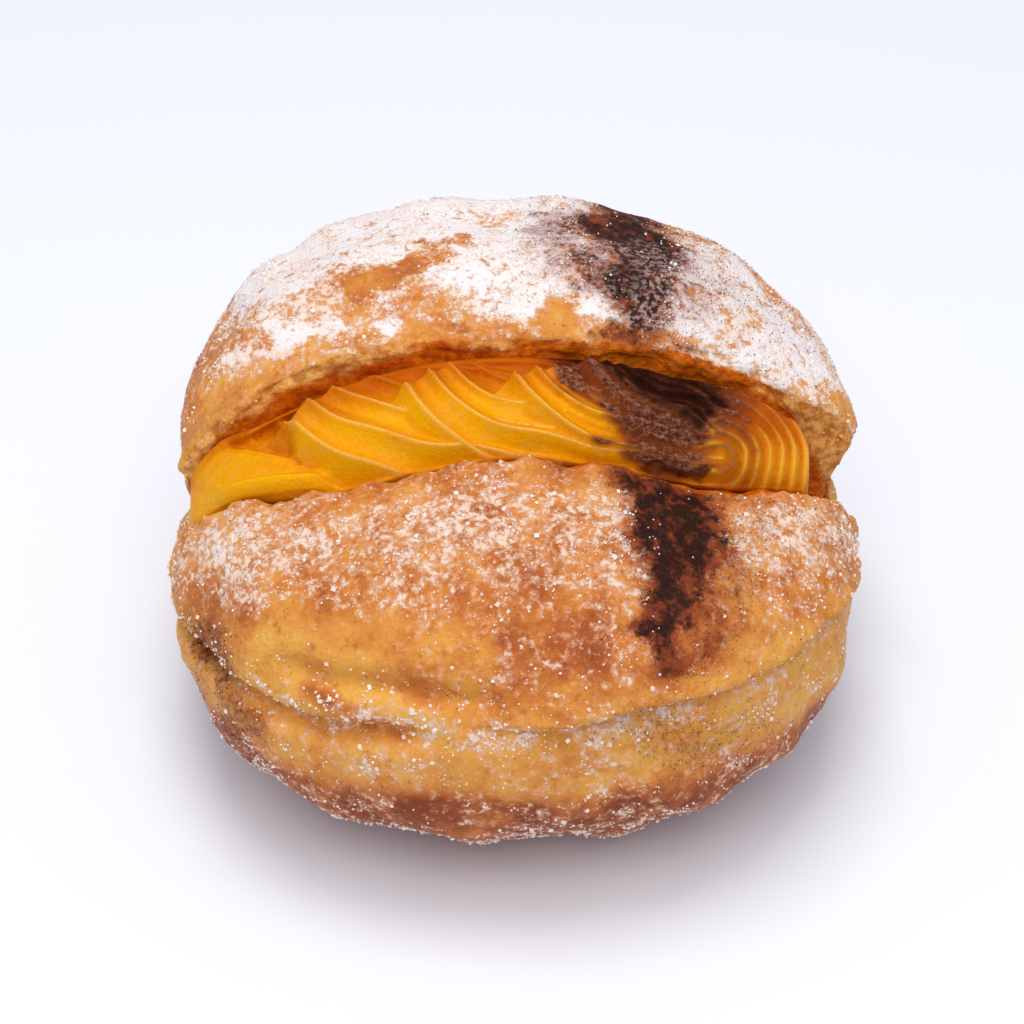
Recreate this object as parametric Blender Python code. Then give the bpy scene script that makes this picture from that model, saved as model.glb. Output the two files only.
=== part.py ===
"""A round fried doughnut, slit across its crown, opened like a clam and piped full of custard.

Metres, +Z up. X runs along the slit, the front jaw is at -Y and the lid at +Y. The origin is on the
floor under the middle of the doughnut.
"""

import bpy
import numpy as np

DEGREE = np.pi / 180

# The ball of dough before it is cut, measured from its waist
HALF_WIDTH = 0.0500
HALF_DEPTH = 0.0470
WAIST_HEIGHT = 0.0280
CROWN_RISE = 0.0295
KEEL_DROP = 0.0310  # reaches below the floor, which flattens it
PLAN_POWER = 2.25
CROWN_POWER = 2.40
KEEL_POWER = 2.15
FLOOR_EDGE = 0.0010  # how softly the side turns into the flat bottom

# The slit: leaning to the front, turned a little, and cut to a straight hinge line past the middle
SLIT_TILT = 14.2 * DEGREE
SLIT_YAW = 3.0 * DEGREE
HINGE_DEPTH = 0.30  # in ball radii past the centre
RIM_DEPTH = 0.045  # the rounded edge starts this share of the way down the cut face
RIM_SHARE = 0.018  # and ends this share of the way to the base

# The lid swings back about the hinge line and stretches upwards, most in its upper back
LID_SWING = 23.5 * DEGREE
SWING_FROM = -5.0 * DEGREE
SWING_TO = 112.0 * DEGREE
SWING_POWER = 1.15
LID_STRETCH = ((0, 0.0), (20, 0.10), (42, 0.31), (66, 0.43), (94, 0.34), (112, 0.12))  # degrees, share
SWING_ALONG = (  # place along the slit, share of the swing
    (-1.0, 0.80),
    (-0.6, 0.96),
    (-0.3, 1.03),
    (0.0, 1.0),
    (0.5, 0.985),
    (0.8, 0.92),
    (1.0, 0.96),
)
CORNER_FLARE = (0.0020, 0.0020, 0.0030)  # pulls the lid's right corner up and back
FLARE_FROM = 0.78  # place along the slit
LID_SIDESTEP = -0.0017  # shifts the lid's upper half to the left, and hardly at the right corner
SIDESTEP_FROM = 0.0360
SIDESTEP_RANGE = 0.0180
SIDESTEP_FADE = 0.80  # place along the slit

# Where the slit's ends tore, the lid's rim is drawn in: side, height, spread, depth
NOTCHES = ((-1, 0.0365, 0.0045, 0.0036), (1, 0.0335, 0.0042, 0.0058))
NOTCH_FROM = 0.90  # place along the slit
NOTCH_REACH = 0.24  # how far behind the rim, as a share of the way to the base

# The front jaw's rim sags on both sides of the middle
JAW_SAG = (  # place along the slit, sag
    (-1.0, 0.0),
    (-0.55, 0.0030),
    (-0.25, 0.0012),
    (0.0, 0.0),
    (0.25, 0.0014),
    (0.62, 0.0040),
    (0.98, 0.0006),
)
SAG_WAY = (0.0, -0.5, -0.85)
SAG_FROM_HEIGHT = 0.0360
SAG_RANGE = 0.0180

# Relief of the crust: the crease below the crown, with an overhanging lip on the front's right and two
# grooves on its left, and soft lumps. Bearings are degrees round +Z from +X
CREASE_HEIGHT = 0.0330
CREASE_LEAN = 0.0050  # higher at the front, lower at the back
CREASE_WANDER = 0.0010
WANDER_SIZE = 0.0300
LIP_RISE = 0.0013
LIP_CUT = 0.0021
LIP_SOFTNESS = 0.0040
LIP_FADE = 0.0055  # how quickly the lip dies away up and down
LIP_SPAN = (-98.0, -4.0)
GROOVE_DEPTH = 0.0018
GROOVE_WIDTH = 0.0021
UPPER_GROOVE = 0.0030  # above the crease
LOWER_GROOVE = -0.0035
UPPER_SPAN = (-136.0, -88.0)
LOWER_SPAN = (-174.0, -98.0)
SPAN_END = 14.0  # degrees over which each of them fades out
BACK_GROOVE = 0.0009  # a shallow groove carries on round the back
BACK_WIDTH = 0.0030
LUMP_SIZE = 0.0150
LUMP_HEIGHT = 0.0005
RELIEF_FROM = 0.0080  # height above the floor where the relief is whole
RELIEF_BELOW_RIM = 0.08  # share of the way to the base over which it sets in

# The custard, piped into the opening from left to right: a runs along the slit, b across it from the jaw
# to the lid. A stroke's leading crest starts at (a, b) and falls towards a floor in b over a run in a;
# its teeth are the nozzle's
GAP = 0.0006  # clear of both cut faces
CUSTARD_FROM = -97.0 * DEGREE  # the ends, as angles round the slit's arc
OPENING_FROM = -62.0 * DEGREE
CUSTARD_TO = 60.0 * DEGREE
CUSTARD_BOTTOM = 0.84  # depths down the cut faces
LEFT_BOTTOM = 0.60  # where the slit is too narrow for more
JAW_EDGE = 0.055
LID_LINE = 0.060  # the piping spans the opening between JAW_EDGE and LID_LINE
LID_EDGE = (  # and sinks to these depths under the lid: a, depth
    (-0.046, 0.055),
    (-0.041, 0.070),
    (-0.036, 0.120),
    (-0.030, 0.130),
    (-0.025, 0.115),
    (-0.016, 0.100),
    (-0.008, 0.078),
    (0.003, 0.066),
    (0.012, 0.072),
    (0.020, 0.090),
    (0.028, 0.110),
    (0.040, 0.125),
)
SINK_REACH = 0.0028
SINK_FLAT = 0.0030  # and the piped relief dies away this close to the lid
END_ROUND = 6.0 * DEGREE
SWELL = (  # a, how far the smooth top bulges out
    (-0.047, 0.0002),
    (-0.038, 0.0004),
    (-0.030, 0.0008),
    (-0.020, 0.0014),
    (0.028, 0.0016),
    (0.044, 0.0012),
)
NARROW = 0.0080  # where the opening is narrower, the bulge is less
STROKES = (  # start in a and b, floor, run, tooth
    (-0.0317, 0.0113, -0.0060, 0.0160, 0.0042),
    (-0.0144, 0.0121, -0.0020, 0.0062, 0.0042),
    (0.0007, 0.0112, 0.0026, 0.0046, 0.0038),
    (0.0108, 0.0157, 0.0074, 0.0038, 0.0025),
)
STROKE_HEIGHT = 0.0038
STROKE_BODY = (  # distance past the leading crest, share of the height
    (-0.0040, 0.0),
    (-0.0028, 0.50),
    (0.0, 1.0),
    (0.0042, 0.86),
    (0.0084, 0.52),
    (0.0120, 0.12),
    (0.0220, 0.0),
)
GROOVES_FROM = -0.0036
TOOTH_DEPTH = 0.0016  # of a tooth as wide as WIDE_TOOTH, and less on narrower ones
WIDE_TOOTH = 0.0038
STROKE_EDGE = 0.0012
START_SLOPE = 0.54  # of the line along which a stroke's teeth begin
CURL_A = 0.0288  # the middle of the curl at the right end
CURL_B = 0.0034
CURL_HEIGHT = 0.0035
CURL_RADIUS = 0.0131
CURL_TOOTH = 0.0018
CURL_DEPTH = 0.0006
CURL_JOIN = 0.0060
FOLD_B = 0.0024  # the smooth fold at the left end, and its two flanks
FOLD_HEIGHT = 0.0024
FOLD_UPPER = 0.0008
FOLD_LOWER = 0.0024
FOLD_SPAN = (-0.0450, -0.0240)
LEFT_OF = -0.0300  # left of here a low ledge ends in a hollow under the lid
LEDGE_HEIGHT = 0.0006
LEDGE_B = -0.0069  # the ledge's end in b, where a is 0
LEDGE_SLOPE = -0.40
HOLLOW_DEPTH = 0.0036
HOLLOW_FROM = -0.0430  # it starts here in a, over this far
HOLLOW_START = 0.0030

# Facets
AROUND = 98
CRUST_ROWS = 33
CRUST_SPREAD = ((0.0, RIM_SHARE), (0.18, 0.14), (0.72, 0.55), (1.0, 1.0))  # closer together at the crease
CUT_ROWS = 3
CUSTARD_COLUMNS = 104
CUSTARD_ROWS = 24
WALL_ROWS = 3


def through(places, knots):
    """A smooth curve through (place, value) knots, read at places: cubic pieces that never overshoot."""
    at, value = np.array(knots, float).T
    step = np.diff(at)
    slope = np.diff(value) / step
    tangent = np.zeros_like(value)
    same_way = slope[:-1] * slope[1:] > 0
    weight_a = 2 * step[1:] + step[:-1]
    weight_b = step[1:] + 2 * step[:-1]
    safe = np.where(same_way[:, None], np.stack([slope[:-1], slope[1:]], 1), 1.0)
    mean = (weight_a + weight_b) / (weight_a / safe[:, 0] + weight_b / safe[:, 1])
    tangent[1:-1] = np.where(same_way, mean, 0.0)
    i = np.clip(np.searchsorted(at, places) - 1, 0, len(at) - 2)
    t = np.clip((places - at[i]) / step[i], 0, 1)
    return (
        (2 * t**3 - 3 * t**2 + 1) * value[i]
        + (t**3 - 2 * t**2 + t) * step[i] * tangent[i]
        + (3 * t**2 - 2 * t**3) * value[i + 1]
        + (t**3 - t**2) * step[i] * tangent[i + 1]
    )


def ramp(value):
    """0 below 0, 1 above 1 and a smooth S between."""
    t = np.clip(value, 0, 1)
    return t * t * (3 - 2 * t)


# The slit's own directions on the unit ball: along it, across it towards the lid, and out through it
ALONG = np.array([np.cos(SLIT_YAW), np.sin(SLIT_YAW), 0.0])
TILTED = np.array([0.0, -np.sin(SLIT_TILT), np.cos(SLIT_TILT)])
OUTWARD = TILTED - ALONG * (TILTED @ ALONG)
OUTWARD = OUTWARD / np.linalg.norm(OUTWARD)
ACROSS = np.cross(OUTWARD, ALONG)
HALF_SLIT = np.sqrt(1 - HINGE_DEPTH**2)  # half the hinge line, in ball radii
SLIT_REACH = np.tan((np.pi / 2 + np.arcsin(HINGE_DEPTH)) / 2)


def ball_skin(away, round_slit):
    """Points of the unit ball. round_slit is an angle round the slit: 0 and pi are its two ends, and the
    lid has a positive sine. away is 0 on the slit and grows towards the base, along the confocal
    ellipses and hyperbolas that surround a straight slit, carried to the ball stereographically."""
    x = SLIT_REACH * np.cosh(away) * np.cos(round_slit)
    y = SLIT_REACH * np.sinh(away) * np.sin(round_slit)
    square = x * x + y * y
    point = 2 * x[..., None] * ALONG + 2 * y[..., None] * ACROSS + (1 - square)[..., None] * OUTWARD
    return point / (1 + square)[..., None]


def ball_cut(depth, round_slit):
    """Points of the cut inside the unit ball: depth is 0 on the rim and 1 on the hinge line."""
    rim = ball_skin(np.zeros_like(round_slit), round_slit)
    hinge = (HALF_SLIT * np.cos(round_slit))[..., None] * ALONG - HINGE_DEPTH * OUTWARD
    return rim * (1 - depth)[..., None] + hinge * depth[..., None]


def ball_to_dough(ball):
    """Swells the unit ball to the squarish, flat-bottomed dough, and shears its waist up to its height."""
    far = np.linalg.norm(ball, axis=-1, keepdims=True)
    d = ball / np.maximum(far, 1e-9)
    power = np.where(d[..., 2] > 0, CROWN_POWER, KEEL_POWER)
    plan = (np.abs(d[..., 0]) ** PLAN_POWER + np.abs(d[..., 1]) ** PLAN_POWER) ** (power / PLAN_POWER)
    p = ball * ((plan + np.abs(d[..., 2]) ** power) ** (-1 / power))[..., None]
    height = WAIST_HEIGHT + np.where(p[..., 2] > 0, CROWN_RISE, KEEL_DROP) * p[..., 2]
    soft = (np.clip(height, -FLOOR_EDGE, FLOOR_EDGE) + FLOOR_EDGE) ** 2 / (4 * FLOOR_EDGE)
    height = np.where(height > FLOOR_EDGE, height, soft)
    return np.stack([HALF_WIDTH * p[..., 0], HALF_DEPTH * p[..., 1], height], -1)


def open_up(points, lid, near_rim):
    """Swings and stretches the lid about the hinge line, draws it in at the notches by near_rim, and lets
    the front jaw's rim sag."""
    hinge = ball_to_dough(-HINGE_DEPTH * OUTWARD)
    along = points[..., 0] / HALF_WIDTH
    y = points[..., 1] - hinge[1]
    z = points[..., 2] - hinge[2]
    angle = np.arctan2(z, y)
    swing = np.clip((angle - SWING_FROM) / (SWING_TO - SWING_FROM), 0, 1) ** SWING_POWER
    turned = angle - LID_SWING * swing * through(along, SWING_ALONG)
    reach = np.hypot(y, z) * (1 + through(angle / DEGREE, LID_STRETCH))
    flare = (ramp((along - FLARE_FROM) / (1 - FLARE_FROM)) * swing)[..., None] * np.array(CORNER_FLARE)
    height = hinge[2] + reach * np.sin(turned)
    sidestep = LID_SIDESTEP * ramp((height - SIDESTEP_FROM) / SIDESTEP_RANGE)
    side = points[..., 0] + sidestep * (1 - 0.9 * ramp(along / SIDESTEP_FADE))
    for way, middle, spread, depth in NOTCHES:
        dip = depth * np.exp(-(((height - middle) / spread) ** 2) / 2)
        side = side - way * dip * near_rim * ramp((way * along - NOTCH_FROM) / 0.08)
    swung = np.stack([side, hinge[1] + reach * np.cos(turned), height], -1)
    drop = through(along, JAW_SAG) * np.clip((points[..., 2] - SAG_FROM_HEIGHT) / SAG_RANGE, 0, 1.2) ** 1.5
    sagged = points + drop[..., None] * np.array(SAG_WAY)
    return np.where(lid[..., None], swung + flare, sagged)


def cut_face(depth, round_slit):
    return open_up(ball_to_dough(ball_cut(depth, round_slit)), np.sin(round_slit) > 0, 1 - depth)


def crust(share, round_slit):
    """The crust without relief: share is 0 on the rim and 1 at the middle of the base."""
    away = np.arcsinh(np.tan(np.pi / 2 * share) / SLIT_REACH)
    near_rim = np.exp(-((share / NOTCH_REACH) ** 2))
    return open_up(ball_to_dough(ball_skin(away, round_slit)), np.sin(round_slit) > 0, near_rim)


def lumps(points, size, seed):
    """Soft random bumps between about -1 and 1: the sum of seeded plane waves about size long."""
    draw = np.random.default_rng(seed)
    waves = draw.normal(size=(12, 3))
    waves /= np.linalg.norm(waves, axis=1, keepdims=True)
    waves *= (2 * np.pi / size) * draw.uniform(0.7, 1.3, (12, 1))
    return np.sin(points @ waves.T + draw.uniform(0, 2 * np.pi, 12)).sum(-1) / 3.5


def window(value, low, high, soft):
    """1 between low and high, and 0 outside, with soft ends."""
    return ramp((value - low) / soft) * ramp((high - value) / soft)


def relief(points):
    """How far the crust stands out from its smooth form: the crease with its lip and grooves, and lumps."""
    bearing = np.arctan2(points[..., 1], points[..., 0]) / DEGREE
    above = points[..., 2] - CREASE_HEIGHT + CREASE_LEAN * np.sin(bearing * DEGREE)
    above = above + CREASE_WANDER * lumps(points, WANDER_SIZE, 4)
    over = ramp(above / LIP_SOFTNESS + 0.5)
    lip = (LIP_RISE * over - LIP_CUT * (1 - over)) * np.exp(-np.abs(above) / LIP_FADE)
    upper = np.exp(-(((above - UPPER_GROOVE) / GROOVE_WIDTH) ** 2))
    lower = np.exp(-(((above - LOWER_GROOVE) / GROOVE_WIDTH) ** 2))
    grooves = upper * window(bearing, *UPPER_SPAN, SPAN_END)
    grooves = grooves + 1.3 * lower * window(bearing, *LOWER_SPAN, SPAN_END)
    back = BACK_GROOVE * np.exp(-((above / BACK_WIDTH) ** 2)) * ramp(bearing / 20 + 0.3)
    crease = lip * window(bearing, *LIP_SPAN, SPAN_END) - GROOVE_DEPTH * grooves - back
    return (crease + LUMP_HEIGHT * lumps(points, LUMP_SIZE, 7)) * ramp(points[..., 2] / RELIEF_FROM)


def normals(grid):
    """Outward directions of a grid of points whose columns close round."""
    closed = np.concatenate([grid[:, -1:], grid, grid[:, :1]], 1)
    along_columns = np.gradient(closed, axis=0)[:, 1:-1]
    round_rows = (closed[:, 2:] - closed[:, :-2]) / 2
    normal = np.cross(along_columns, round_rows)
    return normal / np.maximum(np.linalg.norm(normal, axis=-1, keepdims=True), 1e-12)


def dough_grid(around, crust_rows, cut_rows, rim_rows):
    """Rows of points from the hinge line up the cut faces, over the rounded rim and down to the base."""
    turn = (np.arange(around) + 0.5) * 2 * np.pi / around
    depth = np.linspace(1, RIM_DEPTH, cut_rows + 1)[:-1]
    share = through(np.arange(crust_rows) / crust_rows, CRUST_SPREAD)
    cut = cut_face(*np.meshgrid(depth, turn, indexing="ij"))
    skin = crust(*np.meshgrid(share, turn, indexing="ij"))
    stands_out = relief(skin) * ramp((share[:, None] - RIM_SHARE) / RELIEF_BELOW_RIM)
    skin = skin + normals(skin) * stands_out[..., None]
    step = np.linspace(0, 1, rim_rows + 1)[:-1, None, None]
    edge_in = cut_face(np.full(around, RIM_DEPTH), turn)
    edge = crust(np.zeros(around), turn)
    rim = (1 - step) ** 2 * edge_in + 2 * step * (1 - step) * edge + step**2 * skin[0]
    return np.concatenate([cut, rim, skin])


def dough_mesh():
    """The dough as one closed skin: the two sides of the slit share the points of the hinge line."""
    grid = dough_grid(AROUND, CRUST_ROWS, CUT_ROWS, 2)
    rows = len(grid)
    index = np.arange(rows * AROUND).reshape(rows, AROUND)
    index[0, AROUND // 2 :] = index[0, : AROUND // 2][::-1]
    here, above = index[:-1], index[1:]
    quads = np.stack([here, above, np.roll(above, -1, 1), np.roll(here, -1, 1)], -1).reshape(-1, 4)
    bottom = grid[-1].mean(0) * np.array([1.0, 1.0, 0.0])
    points = np.concatenate([grid.reshape(-1, 3), bottom[None]])
    last = index[-1]
    fan = np.stack([np.roll(last, -1), last, np.full(AROUND, len(points) - 1)], -1)
    return points, [list(dict.fromkeys(face)) for face in quads.tolist() + fan.tolist()]


def scallops(s, tooth, depth):
    """Grooves of a star nozzle: hollows one tooth wide with crests between them."""
    return -depth * np.sin(np.pi * s / tooth) ** 2


def stroke(a, b, start_a, start_b, floor, run, tooth):
    """One piped stroke: the height of its body and the depth of its grooves. s is the distance past the
    leading crest. Past the line where its teeth begin it drops away."""
    fall = (start_b - floor) * np.exp(-np.clip((a - start_a) / run, -1, None))
    s = (b - floor - fall) / np.sqrt(1 + (fall / run) ** 2)
    groove = scallops(s, tooth, TOOTH_DEPTH * min(tooth / WIDE_TOOTH, 1.0)) * (s > GROOVES_FROM)
    beyond = (b - start_b - START_SLOPE * (a - start_a)) / np.sqrt(1 + START_SLOPE**2)
    body = STROKE_HEIGHT * (through(s, STROKE_BODY) - np.clip(beyond, 0, None) / STROKE_EDGE)
    return body, groove


def custard_relief(a, b, width):
    """The piping over the smooth swell of the custard, as body and grooves. The highest stroke shows;
    they turn into the curl at the right, and a smooth fold and a low ledge lie at the left."""
    laid = np.array([stroke(a, b, *each) for each in STROKES])
    highest = laid.sum(1).argmax(0)
    body, groove = np.take_along_axis(laid, highest[None, None], 0)[0]
    body = np.maximum(body, 0)
    radius = np.hypot(np.clip(a - CURL_A, 0, None), b - CURL_B)
    curl = CURL_HEIGHT - STROKE_HEIGHT * np.clip(radius - CURL_RADIUS, 0, None) / STROKE_EDGE
    to_curl = ramp((a - CURL_A) / CURL_JOIN + 0.8)
    body = body * (1 - to_curl) + curl * to_curl
    groove = groove * (1 - to_curl) + scallops(radius, CURL_TOOTH, CURL_DEPTH) * to_curl
    flank = np.where(b > FOLD_B, (b - FOLD_B) / FOLD_UPPER, (FOLD_B - b) / FOLD_LOWER)
    groove = groove + FOLD_HEIGHT * np.exp(-(flank**2)) * window(a, *FOLD_SPAN, 0.0060)
    past_ledge = b - LEDGE_B - LEDGE_SLOPE * a
    hollow = HOLLOW_DEPTH * ramp(past_ledge / 0.0020) * ramp((a - HOLLOW_FROM) / HOLLOW_START)
    body = body + (LEDGE_HEIGHT * ramp(-past_ledge / 0.0010) - hollow) * ramp((LEFT_OF - a) / 0.0020)
    under_lid = ramp((b - width) / SINK_FLAT + 1)
    return body * (1 - 0.8 * under_lid), groove * (1 - under_lid)


def custard_section(columns, top_rows, wall_rows):
    """Loops round the custard, one for each column along the slit: up the jaw's face, over the top and
    down the lid's face. The top bulges out of the opening by the swell and the piped relief."""
    spread = ((0.0, CUSTARD_FROM), (0.1, OPENING_FROM), (1.0, CUSTARD_TO))
    along = through(np.linspace(0, 1, columns), spread)
    turn = np.arccos(np.tan(along / 2) / SLIT_REACH)
    fullness = np.sqrt(1 - np.clip(1 - (CUSTARD_TO - along) / END_ROUND, 0, 1) ** 2)
    place = cut_face(np.full(columns, JAW_EDGE), -turn)[:, 0]
    bottom = LEFT_BOTTOM + (CUSTARD_BOTTOM - LEFT_BOTTOM) * ramp((along - CUSTARD_FROM) / -OPENING_FROM)
    depths = (JAW_EDGE, through(place, LID_EDGE), LID_LINE)
    jaw_edge, lid_edge, lid_line = (bottom + (depth - bottom) * fullness for depth in depths)
    rise = np.linspace(0, 1, wall_rows + 1)[:-1, None]
    jaw_wall = cut_face(bottom + (jaw_edge - bottom) * rise, -turn + 0 * rise)
    lid_wall = cut_face(bottom + (lid_edge - bottom) * rise, turn + 0 * rise)
    jaw_top, lid_top = cut_face(jaw_edge, -turn), cut_face(lid_line, turn)
    sunk = cut_face(lid_edge, turn) - lid_top
    span = lid_top - jaw_top
    width = np.linalg.norm(span, axis=-1)
    out = np.cross(np.array([1.0, 0.0, 0.0]), span)
    out = out / np.linalg.norm(out, axis=-1, keepdims=True)
    t = np.linspace(0, 1, top_rows)[:, None]
    base = jaw_top + (GAP + (width - 2 * GAP) * t)[..., None] * (span / width[:, None])
    a, b = base[..., 0], width * t
    body, groove = custard_relief(a, b, width)
    arch = np.where(t < 0.5, (4 * t * (1 - t)) ** 0.75, 1 - (2 * t - 1) ** 6)
    edges = ramp(t / 0.04) * ramp((1 - t) / 0.10)
    height = (arch * (through(a, SWELL) + body) + edges * groove) * np.clip(width / NARROW, 0, 1) * fullness
    sink = ramp((b - width) / SINK_REACH + 1)
    top = base + height[..., None] * out + sink[..., None] * sunk
    inward = GAP * (lid_wall - jaw_wall) / np.linalg.norm(lid_wall - jaw_wall, axis=-1, keepdims=True)
    return np.concatenate([jaw_wall + inward, top, (lid_wall - inward)[::-1]])


def custard_mesh():
    """The custard as one closed skin: its loops side by side, with a fan over each end."""
    loops = custard_section(CUSTARD_COLUMNS, CUSTARD_ROWS, WALL_ROWS)
    rows, columns = loops.shape[:2]
    index = np.arange(rows * columns).reshape(rows, columns)
    here, above = index, np.roll(index, -1, 0)
    quads = np.stack([here[:, :-1], here[:, 1:], above[:, 1:], above[:, :-1]], -1).reshape(-1, 4)
    points = np.concatenate([loops.reshape(-1, 3), loops.mean(0)[[0, -1]]])
    left = np.stack([here[:, 0], above[:, 0], np.full(rows, len(points) - 2)], -1)
    right = np.stack([above[:, -1], here[:, -1], np.full(rows, len(points) - 1)], -1)
    return points, quads.tolist() + left.tolist() + right.tolist()


def material(name, colour, roughness):
    """A plain Principled finish."""
    finish = bpy.data.materials.new(name)
    finish.use_nodes = True
    shader = finish.node_tree.nodes["Principled BSDF"]
    shader.inputs["Base Color"].default_value = (*colour, 1.0)
    shader.inputs["Roughness"].default_value = roughness
    shader.inputs["Metallic"].default_value = 0.0
    return finish


def add_piece(name, points, faces, finish):
    mesh = bpy.data.meshes.new(name)
    mesh.from_pydata(points.tolist(), [], faces)
    mesh.materials.append(finish)
    mesh.shade_smooth()
    bpy.context.scene.collection.objects.link(bpy.data.objects.new(name, mesh))


def main():
    for old in list(bpy.data.objects):
        bpy.data.objects.remove(old)
    dough_points, dough_faces = dough_mesh()
    custard_points, custard_faces = custard_mesh()
    middle = (dough_points.max(0) + dough_points.min(0)) / 2
    shift = np.array([-middle[0], -middle[1], -dough_points[:, 2].min()])
    fried = material("fried_dough", (0.62, 0.30, 0.09), 0.75)
    cream = material("custard", (0.87, 0.45, 0.02), 0.35)
    add_piece("dough", dough_points + shift, dough_faces, fried)
    add_piece("custard", custard_points + shift, custard_faces, cream)


if __name__ == "__main__":
    main()
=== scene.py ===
import bpy
import numpy as np
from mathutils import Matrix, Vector


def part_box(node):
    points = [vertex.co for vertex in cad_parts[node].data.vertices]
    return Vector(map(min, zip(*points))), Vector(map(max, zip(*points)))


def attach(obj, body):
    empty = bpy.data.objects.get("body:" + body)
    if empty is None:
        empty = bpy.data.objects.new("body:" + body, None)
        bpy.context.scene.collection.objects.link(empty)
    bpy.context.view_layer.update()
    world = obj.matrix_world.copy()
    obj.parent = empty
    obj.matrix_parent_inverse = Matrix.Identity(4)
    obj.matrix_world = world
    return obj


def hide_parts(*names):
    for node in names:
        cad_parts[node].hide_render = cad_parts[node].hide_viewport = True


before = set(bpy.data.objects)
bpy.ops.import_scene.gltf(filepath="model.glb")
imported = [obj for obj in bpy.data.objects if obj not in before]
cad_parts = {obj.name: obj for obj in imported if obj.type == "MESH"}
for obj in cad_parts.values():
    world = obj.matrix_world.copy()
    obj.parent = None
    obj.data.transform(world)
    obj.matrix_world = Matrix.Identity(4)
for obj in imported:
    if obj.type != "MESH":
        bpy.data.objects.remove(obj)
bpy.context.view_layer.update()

DEGREE = np.pi / 180

# --------------------------------------
# The dough. A ball of yeast dough, fried until its top and bottom browned and a pale belt stayed round
# its waist, then slit across the crown and pulled open. One skin: crust outside, torn crumb in the slit.

HALF_WIDTH = 0.05
HALF_DEPTH = 0.047
WAIST_HEIGHT = 0.028
CROWN_RISE = 0.0295
KEEL_DROP = 0.031
PLAN_POWER = 2.25
CROWN_POWER = 2.4
KEEL_POWER = 2.15
FLOOR_EDGE = 0.001
SLIT_TILT = 14.2 * DEGREE
SLIT_YAW = 3.0 * DEGREE
HINGE_DEPTH = 0.3
RIM_DEPTH = 0.045
RIM_SHARE = 0.018
LID_SWING = 23.5 * DEGREE
SWING_FROM = -5.0 * DEGREE
SWING_TO = 112.0 * DEGREE
SWING_POWER = 1.15
LID_STRETCH = ((0, 0.0), (20, 0.1), (42, 0.31), (66, 0.43), (94, 0.34), (112, 0.12))
SWING_ALONG = (
    (-1.0, 0.8), (-0.6, 0.96), (-0.3, 1.03), (0.0, 1.0), (0.5, 0.985), (0.8, 0.92), (1.0, 0.96),
)
FLARE_FROM = 0.78
CORNER_FLARE = (0.002, 0.002, 0.003)
LID_SIDESTEP = -0.0017
SIDESTEP_FROM = 0.036
SIDESTEP_RANGE = 0.018
NOTCHES = ((-1, 0.0365, 0.0045, 0.0036), (1, 0.0335, 0.0042, 0.0058))  # side, height, spread, depth
NOTCH_FROM = 0.9
NOTCH_REACH = 0.24
JAW_SAG = (
    (-1.0, 0.0), (-0.55, 0.003), (-0.25, 0.0012), (0.0, 0.0), (0.25, 0.0014), (0.62, 0.004),
    (0.98, 0.0006),
)
SAG_FROM_HEIGHT = 0.036
SAG_RANGE = 0.018
CREASE_HEIGHT = 0.033
CREASE_LEAN = 0.005
CREASE_WANDER = 0.001
WANDER_SIZE = 0.03
LIP_RISE = 0.0016
LIP_CUT = 0.0028
LIP_SOFTNESS = 0.0014
LIP_FADE_UP = 0.005
LIP_FADE_DOWN = 0.006
LIP_SPAN = (-98, -4, 14)  # degrees round the waist from the right end of the slit: from, to, softness
GROOVE_DEPTH = 0.0024
GROOVE_WIDTH = 0.0014
UPPER_GROOVE = 0.003
UPPER_SPAN = (-136, -88, 12)
LOWER_GROOVE = -0.0035
LOWER_SPAN = (-174, -98, 14)
BACK_GROOVE_WIDTH = 0.003
LUMP_SIZE = 0.015
LUMP_HEIGHT = 0.0005
GLAZE_THICKNESS = 0.00022
RELIEF_FROM = 0.008
AROUND = 560
CRUST_ROWS = 138
CUT_ROWS = 30
CRUMB_BAND = (
    (-0.046, 0.06), (-0.041, 0.066), (-0.034, 0.066), (-0.027, 0.068), (-0.018, 0.058),
    (-0.008, 0.036), (0.003, 0.026), (0.012, 0.018), (0.02, 0.015), (0.028, 0.02), (0.038, 0.04),
    (0.044, 0.16), (0.05, 0.3),
)
RIM_ROWS = 7
LIP_BARE = ((-46, 0.028), (-30, 0.02), (-14, 0.013), (0, 0.008), (9, 0.009), (24, 0.004), (46, 0.008))

# Patches of sugar, cinnamon and browning, and a painted shadow and highlight along the left fold, on the
# side that faced the shaker, in millimetres along the slit and up. A spot is its strength, middle, width
# and height; a streak has two ends and a half width.
BARE_PATCHES = (
    (0.8, -23.7, 38.5, -10.5, 42.5, 1.5), (0.55, -15, 44.5, -7, 45.0, 0.8), (0.3, -14, 35.5, 5.0, 2.6),
    (0.95, 7.3, 34.5, 2.8, 3.4), (0.4, -23, 36, 2.2, 5.0), (0.5, -37.5, 30.0, 2.0, 1.6),
    (0.62, -47, 24, 8, 9), (0.35, 49, 16, 7, 9), (0.25, 20, 48, 14, 5),
)
LUMP_OF_SUGAR = ((0.7, -18.8, 32.5, 1.3, 1.0),)
JAW_SUGAR = ((0.04, 37, 0, 5, 7), (0.2, -41, 0, 6, 7), (-0.3, -28, -16, 16, 7))
LID_STRIPE = ((0.72, 18.3, 32.5, 19.6, 43.0, 3.9), (0.36, 19.0, 43, 14.5, 50.0, 4.6))
LID_SMEAR = ((0.44, 16, 47, 4.5, 46, 5.0), (0.42, 8, 40, 15, 38, 3.0), (0.26, 21, 38, 9.0, 14))
LID_DUST = ((0.5, 11, 30.5, 26, 29.5, 1.3), (0.12, 34, 33, 13, 14))
JAW_STRIPE = ((0.6, 21.0, 11, 23.4, 4, 6.4), (0.45, 23.4, 4, 22.8, -4, 5.4))
JAW_CORE = ((0.8, 22.6, 4, 20.8, -16.5, 2.6),)
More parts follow.
